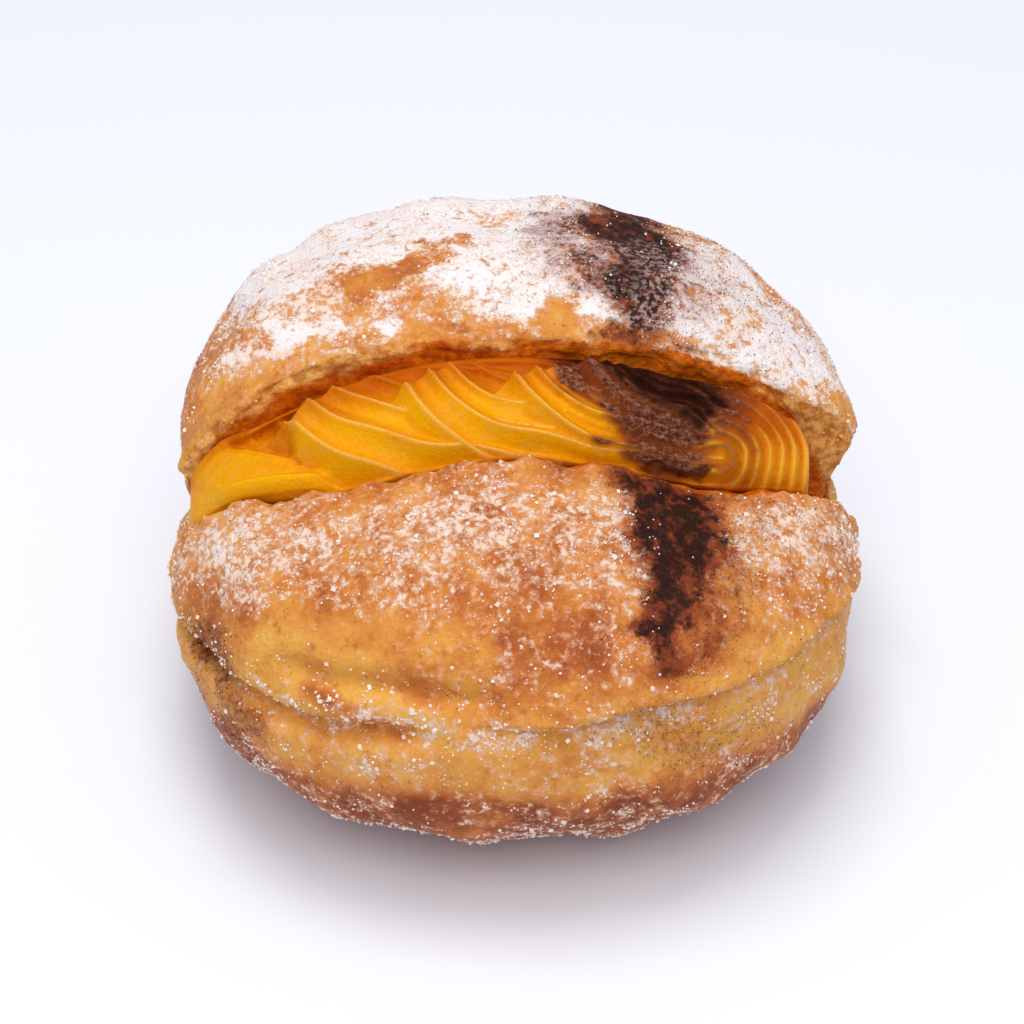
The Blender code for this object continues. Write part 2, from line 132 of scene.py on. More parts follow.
JAW_DUST = ((0.44, 28, 3, 9, 11), (0.44, 27, -10, 7.0, 9), (0.45, 19, 11, 8, 4))
LEFT_DUST = ((0.27, -46, -8, -41, -15, 3.0),)
THIN_DUST = ((0.15, -28, 2, 30, 9),)
LOW_DUST = ((0.42, -45.5, -14, -39, -27, 3.0), (0.3, 25, -27, 16, 5))
BROWNED_PATCHES = (
    (-0.3, -27, -15, 15, 6.5), (-0.22, -36, -14, 6, 5), (0.14, 3, -13, 11, 5), (-0.45, 44, 9.5, 7, 2.5),
    (-0.4, -46, 7, 5, 2.5),
)
# A painted shadow along the left crease fold, and a painted highlight on the ridge just above it.
FOLD_SHADE_AND_HIGHLIGHT = ((0.4, -30, -20.5, -16, -27.0, 1.5), (-0.42, -25, -18.6, -12, -26.2, 1.9))

TOASTING = (
    (0.00, (0.8, 0.41, 0.07, 1)), (0.25, (0.74, 0.31, 0.055, 1)), (0.5, (0.62, 0.205, 0.036, 1)),
    (0.75, (0.43, 0.105, 0.022, 1)), (1.00, (0.25, 0.048, 0.013, 1)),
)
FRECKLE = (0.42, 0.11, 0.024, 1)
CRUMB_COLOURS = (0.58, 0.19, 0.026, 1), (0.84, 0.43, 0.12, 1)
CRUMB_TIPS = (0.9, 0.62, 0.3, 1)
SOAKED_SHADED_COLOURS = (0.48, 0.075, 0.001, 1), (0.7, 0.17, 0.002, 1)
SUGAR_FILM = (0.9, 0.5, 0.28, 1)
SUGAR_GLAZE = (0.94, 0.7, 0.54, 1), (0.96, 0.9, 0.88, 1)
CINNAMON_STAIN = (0.32, 0.07, 0.018, 1)
CINNAMON_COLOURS = (0.26, 0.048, 0.014, 1), (0.016, 0.002, 0.001, 1)
CINNAMON_TIPS = (0.36, 0.16, 0.1, 1)
CINNAMON_IN_SUGAR = (0.5, 0.34, 0.29, 1)


def through(places, knots):
    """A smooth curve through (place, value) knots, read at places: cubic pieces that never overshoot."""
    at, value = np.array(knots, float).T
    step = np.diff(at)
    slope = np.diff(value) / step
    tangent = np.zeros_like(value)
    same_way = slope[:-1] * slope[1:] > 0
    weight_a = 2 * step[1:] + step[:-1]
    weight_b = step[1:] + 2 * step[:-1]
    safe = np.where(same_way[:, None], np.stack([slope[:-1], slope[1:]], 1), 1.0)
    mean = (weight_a + weight_b) / (weight_a / safe[:, 0] + weight_b / safe[:, 1])
    tangent[1:-1] = np.where(same_way, mean, 0.0)
    i = np.clip(np.searchsorted(at, places) - 1, 0, len(at) - 2)
    t = np.clip((places - at[i]) / step[i], 0, 1)
    return (
        (2 * t**3 - 3 * t**2 + 1) * value[i]
        + (t**3 - 2 * t**2 + t) * step[i] * tangent[i]
        + (3 * t**2 - 2 * t**3) * value[i + 1]
        + (t**3 - t**2) * step[i] * tangent[i + 1]
    )


def ramp(value):
    """0 below 0, 1 above 1 and a smooth S between."""
    t = np.clip(value, 0, 1)
    return t * t * (3 - 2 * t)


def bell(value):
    """1 at 0, falling to 0 on both sides as exp(-value squared)."""
    return np.exp(-(value**2))


def window(value, low, high, soft):
    """1 between low and high, and 0 outside, with soft ends."""
    return ramp((value - low) / soft) * ramp((high - value) / soft)


ALONG = np.array([np.cos(SLIT_YAW), np.sin(SLIT_YAW), 0.0])
TILTED = np.array([0.0, -np.sin(SLIT_TILT), np.cos(SLIT_TILT)])
OUTWARD = TILTED - ALONG * (TILTED @ ALONG)
OUTWARD = OUTWARD / np.linalg.norm(OUTWARD)
ACROSS = np.cross(OUTWARD, ALONG)
HALF_SLIT = np.sqrt(1 - HINGE_DEPTH**2)
SLIT_REACH = np.tan((np.pi / 2 + np.arcsin(HINGE_DEPTH)) / 2)


def ball_skin(away, round_slit):
    """Points of the unit ball. round_slit is an angle round the slit: 0 and pi are its two ends, and the
    lid has a positive sine. away is 0 on the slit and grows towards the base, along the confocal
    ellipses and hyperbolas that surround a straight slit, carried to the ball stereographically."""
    x = SLIT_REACH * np.cosh(away) * np.cos(round_slit)
    y = SLIT_REACH * np.sinh(away) * np.sin(round_slit)
    square = x * x + y * y
    point = 2 * x[..., None] * ALONG + 2 * y[..., None] * ACROSS + (1 - square)[..., None] * OUTWARD
    return point / (1 + square)[..., None]


def ball_cut(depth, round_slit):
    """Points of the cut inside the unit ball: depth is 0 on the rim and 1 on the hinge line."""
    rim = ball_skin(np.zeros_like(round_slit), round_slit)
    hinge = (HALF_SLIT * np.cos(round_slit))[..., None] * ALONG - HINGE_DEPTH * OUTWARD
    return rim * (1 - depth)[..., None] + hinge * depth[..., None]


def ball_to_dough(ball):
    """Swells the unit ball to the squarish, flat-bottomed dough: a superellipsoid whose powers differ
    in plan, crown and keel, with its height clamped softly at the floor."""
    far = np.linalg.norm(ball, axis=-1, keepdims=True)
    d = ball / np.maximum(far, 1e-9)
    power = np.where(d[..., 2] > 0, CROWN_POWER, KEEL_POWER)
    plan = (np.abs(d[..., 0]) ** PLAN_POWER + np.abs(d[..., 1]) ** PLAN_POWER) ** (power / PLAN_POWER)
    p = ball * ((plan + np.abs(d[..., 2]) ** power) ** (-1 / power))[..., None]
    height = WAIST_HEIGHT + np.where(p[..., 2] > 0, CROWN_RISE, KEEL_DROP) * p[..., 2]
    soft = (np.clip(height, -FLOOR_EDGE, FLOOR_EDGE) + FLOOR_EDGE) ** 2 / (4 * FLOOR_EDGE)
    height = np.where(height > FLOOR_EDGE, height, soft)
    return np.stack([HALF_WIDTH * p[..., 0], HALF_DEPTH * p[..., 1], height], -1)


def open_up(points, lid, near_rim):
    """Swings and stretches the lid about the hinge line by an angle and a share that grow with the
    angle from it, draws it in at the notches by near_rim, and lets the front jaw's rim sag."""
    hinge = ball_to_dough(-HINGE_DEPTH * OUTWARD)
    along = points[..., 0] / HALF_WIDTH
    y = points[..., 1] - hinge[1]
    z = points[..., 2] - hinge[2]
    angle = np.arctan2(z, y)
    swing = np.clip((angle - SWING_FROM) / (SWING_TO - SWING_FROM), 0, 1) ** SWING_POWER
    turned = angle - LID_SWING * swing * through(along, SWING_ALONG)
    reach = np.hypot(y, z) * (1 + through(angle / DEGREE, LID_STRETCH))
    flare = ramp((along - FLARE_FROM) / (1 - FLARE_FROM))[..., None] * swing[..., None] * CORNER_FLARE
    height = hinge[2] + reach * np.sin(turned)
    sidestep = LID_SIDESTEP * ramp((height - SIDESTEP_FROM) / SIDESTEP_RANGE)
    side = points[..., 0] + sidestep * (1 - 0.9 * ramp(along / 0.8))
    for way, middle, spread, depth in NOTCHES:
        near_end = ramp((way * along - NOTCH_FROM) / 0.08)
        dip = depth * np.exp(-(((height - middle) / spread) ** 2) / 2) * near_end
        side = side - way * dip * near_rim
    swung = np.stack([side, hinge[1] + reach * np.cos(turned), height], -1)
    drop = through(along, JAW_SAG) * np.clip((points[..., 2] - SAG_FROM_HEIGHT) / SAG_RANGE, 0, 1.2) ** 1.5
    sagged = points + drop[..., None] * np.array([0.0, -0.5, -0.85])
    return np.where(lid[..., None], swung + flare, sagged)


def cut_face(depth, round_slit):
    """The cut faces without relief: depth is 0 on the rim and 1 on the hinge line."""
    return open_up(ball_to_dough(ball_cut(depth, round_slit)), np.sin(round_slit) > 0, 1 - depth)


def crust(share, round_slit):
    """The crust without relief: share is 0 on the rim and 1 at the middle of the base."""
    away = np.arcsinh(np.tan(np.pi / 2 * share) / SLIT_REACH)
    near_rim = bell(share / NOTCH_REACH)
    return open_up(ball_to_dough(ball_skin(away, round_slit)), np.sin(round_slit) > 0, near_rim)


def lumps(points, size, seed, count=12):
    """Soft random bumps between about -1 and 1: the sum of count seeded plane waves about size long."""
    draw = np.random.default_rng(seed)
    waves = draw.normal(size=(count, 3))
    pitch = (2 * np.pi / size) * draw.uniform(0.7, 1.3, (count, 1))
    waves *= pitch / np.linalg.norm(waves, axis=1, keepdims=True)
    return np.sin(points @ waves.T + draw.uniform(0, 2 * np.pi, count)).sum(-1) / 3.5


def mottle(points, size, seed, octaves=3, cells=32, shift=7.31):
    """Cloudy noise between about -1 and 1: random values on a lattice size apart, joined by smooth
    steps. Each further octave is half as large and half as strong, and shifted off the last."""
    lattice = np.random.default_rng(seed).uniform(-1, 1, (cells, cells, cells))
    total = 0.0
    for octave in range(octaves):
        place = points / size * 2**octave + shift * (octave + 1)
        cell = np.floor(place).astype(int)
        part = ramp(place - cell)
        for corner in np.ndindex(2, 2, 2):
            at = (cell + corner) % cells
            share = np.prod(np.where(np.array(corner), part, 1 - part), -1)
            total = total + 0.5**octave * share * lattice[at[..., 0], at[..., 1], at[..., 2]]
    return total


def above_crease(points):
    """Height above the crease, which leans down towards the back and wanders a little, and the bearing
    round the waist in degrees."""
    bearing = np.arctan2(points[..., 1], points[..., 0])
    above = points[..., 2] - CREASE_HEIGHT + CREASE_LEAN * np.sin(bearing)
    return above + CREASE_WANDER * lumps(points, WANDER_SIZE, 4), bearing / DEGREE


def relief(points):
    """How far the crust stands out from its smooth form: the crease with its lip and grooves, and lumps."""
    above, bearing = above_crease(points)
    lip = LIP_RISE * ramp(above / LIP_SOFTNESS + 0.5) * np.exp(-np.clip(above, 0, None) / LIP_FADE_UP)
    lip = lip - LIP_CUT * ramp(0.5 - above / LIP_SOFTNESS) * np.exp(np.clip(above, None, 0) / LIP_FADE_DOWN)
    upper = -GROOVE_DEPTH * bell((above - UPPER_GROOVE) / GROOVE_WIDTH)
    lower = -GROOVE_DEPTH * bell((above - LOWER_GROOVE) / GROOVE_WIDTH)
    crease = lip * window(bearing, *LIP_SPAN)
    crease = crease + upper * window(bearing, *UPPER_SPAN) + 1.3 * lower * window(bearing, *LOWER_SPAN)
    crease = crease - 0.5 * GROOVE_DEPTH * bell(above / BACK_GROOVE_WIDTH) * ramp(bearing / 20 + 0.3)
    return (crease + LUMP_HEIGHT * lumps(points, LUMP_SIZE, 7)) * ramp(points[..., 2] / RELIEF_FROM)


def normals(grid):
    """Outward directions of a grid of points whose columns close round."""
    closed = np.concatenate([grid[:, -1:], grid, grid[:, :1]], 1)
    along_columns = np.gradient(closed, axis=0)[:, 1:-1]
    round_rows = (closed[:, 2:] - closed[:, :-2]) / 2
    normal = np.cross(along_columns, round_rows)
    return normal / np.maximum(np.linalg.norm(normal, axis=-1, keepdims=True), 1e-12)


def dough_grid():
    """Rows of points from the hinge line up the cut faces, over the rounded rim and down to the base."""
    turn = (np.arange(AROUND) + 0.5) * 2 * np.pi / AROUND
    depth = RIM_DEPTH + (1 - RIM_DEPTH) * (1 - np.arange(CUT_ROWS) / CUT_ROWS) ** 2
    share = RIM_SHARE + (1 - RIM_SHARE) * np.arange(CRUST_ROWS) / CRUST_ROWS
    cut = cut_face(*np.meshgrid(depth, turn, indexing="ij"))
    skin = crust(*np.meshgrid(share, turn, indexing="ij"))
    skin = skin + normals(skin) * (relief(skin) * ramp((share[:, None] - RIM_SHARE) / 0.08))[..., None]
    step = np.linspace(0, 1, RIM_ROWS + 1)[:-1, None, None]
    edge_in = cut_face(np.full(AROUND, RIM_DEPTH), turn)
    edge = crust(np.zeros(AROUND), turn)
    rim = (1 - step) ** 2 * edge_in + 2 * step * (1 - step) * edge + step**2 * skin[0]
    return np.concatenate([cut, rim, skin])


smooth = dough_grid()
dough_middle = (smooth.reshape(-1, 3).max(0) + smooth.reshape(-1, 3).min(0)) / 2
cad_low, cad_high = (np.array(corner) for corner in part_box("dough"))
TO_FRAME = np.append(((cad_low + cad_high) / 2 - dough_middle)[:2], 0.0)

row = np.arange(len(smooth))
outside = ramp((row - CUT_ROWS + 1.0) / (RIM_ROWS + 1.0))[:, None] * np.ones(AROUND)
from_rim = np.clip(row - CUT_ROWS - RIM_ROWS, 0, None)[:, None] / CRUST_ROWS * np.ones(AROUND)
in_cut = (np.clip(CUT_ROWS - row, 0, None)[:, None] / CUT_ROWS) ** 2 * np.ones(AROUND)
is_lid = np.broadcast_to((np.arange(AROUND) < AROUND // 2)[None], outside.shape)
above, bearing = above_crease(smooth)


def spot(u, v, at_u, at_v, wide, tall):
    """1 at the middle of an oval patch and falling softly to 0 outside it."""
    return np.exp(-((((u - at_u) / wide) ** 2 + ((v - at_v) / tall) ** 2) ** 1.5))


def facing(points):
    """Place on the side that was sugared, as someone sees it who looks down on its middle at 40 degrees
    from 0.45 m away: u along the slit and v up, in millimetres, with nearer places a little larger."""
    y, z = points[..., 1], points[..., 2] - 0.03
    rise, run = np.sin(40 * DEGREE), np.cos(40 * DEGREE)
    nearer = 450 / (0.45 + y * run - z * rise)
    return points[..., 0] * nearer, (y * rise + z * run) * nearer


def streak(u, v, from_u, from_v, to_u, to_v, half):
    """1 along the middle of a straight streak between two places, falling softly to 0 beside it."""
    run_u, run_v = to_u - from_u, to_v - from_v
    t = np.clip(((u - from_u) * run_u + (v - from_v) * run_v) / (run_u**2 + run_v**2), 0, 1)
    return np.exp(-((np.hypot(u - from_u - t * run_u, v - from_v - t * run_v) / half) ** 3))


def painted(u, v, patches):
    """The sum of spots and streaks, each times its strength. A streak's place has one number more."""
    return sum(by * (spot if len(place) == 4 else streak)(u, v, *place) for by, *place in patches)


def sugar_cover(points, lid, share, above):
    """How thickly the fine sugar lies, 0 to 1: melted to a pale glaze over most of the lid but for bare
    islands and a bare lip along the rim, clumped on the top of the front jaw, and thin below but for a
    line of it in the crease."""
    u, v = facing(points)
    u = u + 1.6 * mottle(points, 0.005, 20)
    v = v + 1.6 * mottle(points, 0.005, 19)
    patches = mottle(points, 0.0085, 21)
    clumps = mottle(points, 0.0026, 22, 2)
    on_lid = 0.85 + 0.2 * patches + 0.2 * clumps - 0.06 * ramp((u - 22) / 10)
    lip = np.exp(-((share / through(u, LIP_BARE)) ** 3)) * (1 - 0.7 * ramp((u - 20) / 10))
    bare = painted(u, v, BARE_PATCHES) + (0.52 + 0.25 * clumps) * lip
    on_lid = (on_lid - bare) * ramp((points[..., 2] - 0.028) / 0.016)
    on_lid = np.maximum(on_lid, 0) + painted(u, v, LUMP_OF_SUGAR)
    on_jaw = 0.34 * ramp((v + 14) / 18) + 0.19 + 0.1 * patches + 0.1 * clumps
    on_jaw = on_jaw + painted(u, v, JAW_SUGAR) - 0.25 * bell(share / 0.02)
    on_jaw = on_jaw * ramp((above + 0.001) / 0.006)
    below = (0.24 + 0.12 * patches + 0.18 * clumps) * ramp(0.5 - above / 0.004)
    in_crease = (0.27 + 0.22 * clumps) * bell((above + 0.0015) / 0.0024) * window(u, -30, 50, 10)
    return np.clip(np.where(lid, on_lid, on_jaw) + below + in_crease, 0, 1)


def cinnamon_cover(points, lid, share):
    """How thickly the cinnamon lies, 0 to 1: one stripe shaken from back to front over the right half,
    thick beside the slit, with a thin smear to its left on the lid and reddish dust round it below. It
    fades on the lid's far side."""
    u, v = facing(points)
    u = u + 2.1 * mottle(points, 0.005, 31)
    v = v + 2.1 * mottle(points, 0.005, 33)
    patches = mottle(points, 0.004, 32)
    on_lid = painted(u, v, LID_STRIPE) + painted(u, v, LID_SMEAR) * (1 + 0.6 * patches)
    on_lid = on_lid * (1 - 0.35 * bell(share / 0.014)) + painted(u, v, LID_DUST)
    on_lid = on_lid * ramp((points[..., 2] - 0.027) / 0.014)
    core = np.maximum(painted(u, v, JAW_STRIPE), painted(u, v, JAW_CORE)) * (1 + 0.3 * patches)
    on_jaw = core + painted(u, v, JAW_DUST) * (1 + 0.5 * patches) + painted(u, v, LEFT_DUST)
    on_jaw = on_jaw + painted(u, v, THIN_DUST) * np.clip(0.3 + patches, 0, 1)
    return np.clip(np.where(lid, on_lid, on_jaw) + painted(u, v, LOW_DUST), 0, 1)


def browned(points, above):
    """How dark the frying left the crust, 0 to 1: the belt below the crease is pale yellow, the top is
    golden and the underside reddish brown. Along the left crease fold it also holds a painted shadow
    and, just above it, a painted highlight."""
    u, v = facing(points)
    belt = window(above, -0.015, 0.005, 0.006)
    top = 0.54 + 0.13 * mottle(points, 0.012, 41) + 0.17 * mottle(points, 0.0035, 42, 2)
    top = top + painted(u, v, BROWNED_PATCHES) - 0.22 * ramp((u - 25) / 20) * ramp((-4 - v) / 10)
    under = 0.98 + 0.25 * mottle(points, 0.006, 43)
    fried = top + (under - top) * ramp((-0.0095 - above) / 0.007)
    fried = fried * (1 - 0.66 * belt) + 0.16 * mottle(points, 0.004, 44)
    return np.clip(fried + painted(u, v, FOLD_SHADE_AND_HIGHLIGHT), 0, 1)


sugar = sugar_cover(smooth, is_lid, from_rim, above) * ramp(2 * outside)
cinnamon = cinnamon_cover(smooth, is_lid, from_rim) * outside
brown = np.clip(browned(smooth, above) - 0.18 * bell(from_rim / 0.035) * is_lid, 0, 1)
# Past the crumb band the cut face is custard-stained and painted dark as the shade under the lid.
past_band = in_cut + 0.045 - through(smooth[..., 0], CRUMB_BAND) + 0.022 * mottle(smooth, 0.0032, 57)
soaked_and_shaded = ramp(past_band / 0.014)

# Fine relief in metres: blistered crust, the thickness of the glaze, ragged crumb on the cut faces
glaze = ramp((sugar + 0.25 * mottle(smooth, 0.0022, 51, 2) - 0.45) / 0.25) * outside
fine = 0.00016 * mottle(smooth, 0.0035, 52) + GLAZE_THICKNESS * glaze
fine = fine + 0.0003 * mottle(smooth, 0.005, 53) * ramp((-0.004 - above) / 0.006)
fine = fine + 0.00017 * mottle(smooth, 0.0011, 59, 2) * ramp(sugar / 0.5)
torn = 0.00075 * mottle(smooth, 0.003, 54) + 0.00045 * mottle(smooth, 0.0011, 55, 2)
edge_near = bell((row - CUT_ROWS - RIM_ROWS / 2) / 5.0)[:, None]
torn = torn * (1 - outside) * ramp((0.6 - in_cut) / 0.2)
torn = torn + (0.00045 * mottle(smooth, 0.0016, 56, 2) + 0.0007 * mottle(smooth, 0.004, 58)) * edge_near
settled = ramp(smooth[..., 2] / 0.0015)
dough_points = smooth + normals(smooth) * ((fine * outside + torn) * settled)[..., None]
dough_points[..., 2] = np.maximum(dough_points[..., 2], 0.0)


def add_skin(name, points, faces, finish, **amounts):
    """A smooth-shaded mesh of these points and faces, with one number per point for each amount."""
    mesh = bpy.data.meshes.new(name)
    mesh.from_pydata(points, [], faces)
    mesh.materials.append(finish)
    mesh.shade_smooth()
    for label, values in amounts.items():
        layer = mesh.attributes.new(label, "FLOAT", "POINT")
        layer.data.foreach_set("value", np.ravel(values).astype(np.float32))
    piece = bpy.data.objects.new(name, mesh)
    bpy.context.scene.collection.objects.link(piece)
    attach(piece, "root")
    return piece


def plug(node, inputs):
    """Fills a node's input sockets with values or with the outputs of other nodes."""
    for socket, value in inputs.items():
        if isinstance(value, bpy.types.NodeSocket):
            node.id_data.links.new(value, node.inputs[socket])
        else:
            node.inputs[socket].default_value = value


def shader(tree, kind, inputs, **settings):
    """Adds a shader node with these settings and inputs."""
    made = tree.nodes.new("ShaderNode" + kind)
    for name, value in settings.items():
        setattr(made, name, value)
    plug(made, inputs)
    return made


def blank_finish(name):
    """A new material, its node tree and the Object coordinates in it."""
    finish = bpy.data.materials.new(name)
    finish.use_nodes = True
    tree = finish.node_tree
    return finish, tree, shader(tree, "TexCoord", {}).outputs["Object"]


def surface(tree, colour, roughness, specular, **others):
    """Sets the material's surface. others are further inputs, with _ for a space in their names."""
    inputs = {"Base Color": colour, "Roughness": roughness, "Specular IOR Level": specular}
    inputs.update({name.replace("_", " "): value for name, value in others.items()})
    plug(tree.nodes["Principled BSDF"], inputs)


def amount(tree, name):
    """The number that the mesh holds under this name."""
    return shader(tree, "Attribute", {}, attribute_name=name).outputs["Fac"]


def cloud(place, size, detail=3.0, roughness=0.55):
    """Noise at place whose features are about size metres."""
    sockets = {"Vector": place, "Scale": 1 / size, "Detail": detail, "Roughness": roughness}
    return shader(place.id_data, "TexNoise", sockets).outputs["Fac"]


def pebbles(place, size, bend_size=0.0015, bend=0.0014):
    """Cells about size across, their borders bent by noise: how far from the middle of its cell a place
    is, and the cell's random number."""
    tree = place.id_data
    noise = shader(tree, "TexNoise", {"Vector": place, "Scale": 1 / bend_size, "Detail": 2.0})
    noise = shader(tree, "VectorMath", {0: noise.outputs["Color"], "Scale": bend}, operation="SCALE")
    bent = shader(tree, "VectorMath", {0: place, 1: noise.outputs[0]}, operation="ADD")
    cells = shader(tree, "TexVoronoi", {"Vector": bent.outputs[0], "Scale": 1 / size})
    lot = shader(tree, "SeparateColor", {0: cells.outputs["Color"]}).outputs[0]
    return cells.outputs["Distance"], lot


def level(value, low, high, to_low=0.0, to_high=1.0):
    """A smooth step from to_low to to_high as value goes from low to high."""
    sockets = {"Value": value, "From Min": low, "From Max": high, "To Min": to_low, "To Max": to_high}
    return shader(value.id_data, "MapRange", sockets, interpolation_type="SMOOTHSTEP").outputs["Result"]


def maths(operation, total, *values):
    """Joins values by an operation, from left to right."""
    for value in values:
        total = shader(total.id_data, "Math", {0: total, 1: value}, operation=operation).outputs[0]
    return total


def plus(*values):
    """The sum of values."""
    return maths("ADD", *values)


def times(*values):
    """The product of values."""
    return maths("MULTIPLY", *values)


def around_half(value, strength):
    """Noise about zero, times strength."""
    return times(maths("SUBTRACT", value, 0.5), strength)


def tint(share, a, b):
    """Mixes colour a with colour b by share."""
    return shader(share.id_data, "Mix", {0: share, 6: a, 7: b}, data_type="RGBA").outputs[2]


def graded(value, stops):
    """The colour at value among (value, colour) stops from 0 to 1."""
    made = shader(value.id_data, "ValToRGB", {0: value})
    elements = made.color_ramp.elements
    elements[0].color, elements[1].color = stops[0][1], stops[-1][1]
    for at, colour in stops[1:-1]:
        elements.new(at).color = colour
    return made.outputs["Color"]


def bumps(height, strength, distance):
    """Shading as if the surface rose by distance times height."""
    sockets = {"Height": height, "Strength": strength, "Distance": distance}
    return shader(height.id_data, "Bump", sockets).outputs["Normal"]


def crust_finish():
    """Fried crust: a browning ramp from yellow to reddish brown, freckled; over it the sugar, from a thin
    pinkish film to a thick pale glaze, and the cinnamon, each breaking up at its own grain; on the cut
    faces bare crumb, soaked orange where the custard touched it and painted darker there as the shade
    under the lid."""
    finish, tree, place = blank_finish("fried_crust")
    grain = cloud(place, 0.0008, 4.0, 0.65)
    freckle = cloud(place, 0.0013, 4.0)
    clumped = cloud(place, 0.0021, 5.0, 0.62)
    blotch = cloud(place, 0.005, 4.0)
    speckle = cloud(place, 0.0011, 6.0, 0.85)
    off_middle, lot = pebbles(place, 0.0011)

    noise = [around_half(cause, by) for cause, by in ((blotch, 0.55), (freckle, 0.4), (grain, 0.45))]
    toasted = graded(plus(amount(tree, "brown"), *noise), TOASTING)
    colour = tint(level(freckle, 0.56, 0.74, 0.0, 0.5), toasted, FRECKLE)
    mealy = level(freckle, 0.35, 0.65)
    crumb = tint(mealy, *CRUMB_COLOURS)
    crumb = tint(level(clumped, 0.58, 0.7, 0.0, 0.7), crumb, CRUMB_TIPS)
    # Soaked crumb: the custard stain, painted darker as the shade under the lid.
    crumb = tint(amount(tree, "soaked_and_shaded"), crumb, tint(mealy, *SOAKED_SHADED_COLOURS))
    outside_now = level(plus(amount(tree, "outside"), around_half(freckle, 0.8)), 0.35, 0.65)
    colour = tint(outside_now, crumb, colour)

    milky = level(amount(tree, "sugar"), 0.55, 0.85)
    gritty = level(milky, 0.0, 1.0, 1.0, 0.55)
    ragged = around_half(clumped, 1.4), times(around_half(grain, 1.9), gritty), around_half(lot, 0.3)
    ragged = plus(amount(tree, "sugar"), *ragged)
    ragged = maths("SUBTRACT", ragged, around_half(off_middle, 0.25))
    film = times(level(ragged, 0.14, 0.68), outside_now)
    thick = level(ragged, 0.38, 0.8)
    pale = tint(milky, *SUGAR_GLAZE)
    sugared = tint(plus(thick, around_half(blotch, 0.8)), SUGAR_FILM, pale)
    covered = times(film, level(thick, 0.0, 1.0, 0.6, 0.97))
    colour = tint(covered, colour, sugared)

    spiced = amount(tree, "cinnamon")
    colour = tint(level(spiced, 0.05, 0.6, 0.0, 0.55), colour, CINNAMON_STAIN)
    spice = plus(spiced, around_half(speckle, 2.4))
    depth = plus(spiced, around_half(clumped, 2.6), around_half(speckle, 1.2))
    cinnamon = tint(level(depth, 0.35, 1.1), *CINNAMON_COLOURS)
    cinnamon = tint(level(speckle, 0.6, 0.72, 0.0, 0.6), cinnamon, CINNAMON_TIPS)
    mixed_in = times(level(grain, 0.46, 0.6, 0.0, 0.75), milky)
    cinnamon = tint(mixed_in, cinnamon, CINNAMON_IN_SUGAR)
    colour = tint(level(spice, 0.24, 0.72, 0.0, 0.97), colour, cinnamon)

    rough = maths("SUBTRACT", times(grain, 1.5), times(off_middle, times(film, 0.5)))
    height = plus(rough, plus(times(thick, 0.35), freckle))
    surface(
        tree, colour, level(film, 0.0, 1.0, 0.46, 0.7), 0.12, Normal=bumps(height, 0.8, 0.0004),
        Subsurface_Weight=0.08, Subsurface_Radius=(1.0, 0.45, 0.2), Subsurface_Scale=0.0012,
    )
    return finish


index = np.arange(smooth[..., 0].size).reshape(smooth.shape[:2])
index[0, AROUND // 2 :] = index[0, : AROUND // 2][::-1]
here, beyond = index[:-1], index[1:]
quads = np.stack([here, beyond, np.roll(beyond, -1, 1), np.roll(here, -1, 1)], -1).reshape(-1, 4)
base_middle = dough_points[-1].mean(0) * np.array([1.0, 1.0, 0.0])
kept, fresh = np.unique(quads, return_inverse=True)
quads = fresh.reshape(-1, 4)
fan = np.stack([np.roll(quads[-AROUND:, 1], -1), quads[-AROUND:, 1], np.full(AROUND, len(kept))], -1)
faces = [list(dict.fromkeys(face)) for face in quads.tolist() + fan.tolist()]
points = np.concatenate([dough_points.reshape(-1, 3)[kept], base_middle[None]]) + TO_FRAME
amounts = {"sugar": sugar, "cinnamon": cinnamon, "brown": brown, "outside": outside, "soaked_and_shaded": soaked_and_shaded}
amounts = {name: np.append(values.ravel()[kept], values[-1].mean()) for name, values in amounts.items()}
dough = add_skin("dough_skin", points, faces, crust_finish(), **amounts)
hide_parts("dough")

# --------------------------------------
# The sugar that did not melt. Coarse crystals lie loose on the crust or half sunk in the glaze, and
# finer ones crowd wherever the film is thick.

COARSE_SUGAR = (2600, 0.00034, 0.00084)  # how many, smallest, largest
FINE_SUGAR = (13000, 0.00018, 0.0004)
CRYSTAL = (
    np.array([(x, y, z) for x in (-1, 1) for y in (-1, 1) for z in (-1, 1)]) / 2,
    np.array([(0, 1, 3, 2), (4, 6, 7, 5), (0, 4, 5, 1), (2, 3, 7, 6), (0, 2, 6, 4), (1, 5, 7, 3)]),
)
CRYSTAL_COLOURS = (0.86, 0.63, 0.48, 1), (0.95, 0.87, 0.82, 1)
OFF_FLOOR = 0.00002


def scatter(grid, density, count, seed):
    """Places on a surface grid and the surface's directions there: cells are drawn by their area times
    density, and a place inside each cell is the bilinear mix of its corners."""
    draw = np.random.default_rng(seed)
    a, b = grid[:-1, :-1], grid[:-1, 1:]
    c, d = grid[1:, :-1], grid[1:, 1:]
    facet = np.cross(c - a, b - a)
    weight = (np.linalg.norm(facet, axis=-1) * density[:-1, :-1]).ravel()
    cell = draw.choice(weight.size, count, p=weight / weight.sum())
    s, t = draw.uniform(size=(2, count, 1))
    corners = [corner.reshape(-1, 3)[cell] for corner in (a, b, c, d)]
    place = (1 - s) * ((1 - t) * corners[0] + t * corners[1]) + s * ((1 - t) * corners[2] + t * corners[3])
    away = facet.reshape(-1, 3)[cell]
    return place, away / np.linalg.norm(away, axis=-1, keepdims=True)


def turned_at_random(count, draw):
    """Rotation matrices from random unit quaternions w, x, y, z."""
    turn = draw.normal(size=(4, count))
    w, x, y, z = turn / np.linalg.norm(turn, axis=0)
    return np.array([
        [1 - 2 * (y * y + z * z), 2 * (x * y - w * z), 2 * (x * z + w * y)],
        [2 * (x * y + w * z), 1 - 2 * (x * x + z * z), 2 * (y * z - w * x)],
        [2 * (x * z - w * y), 2 * (y * z + w * x), 1 - 2 * (x * x + y * y)],
    ]).transpose(2, 0, 1)


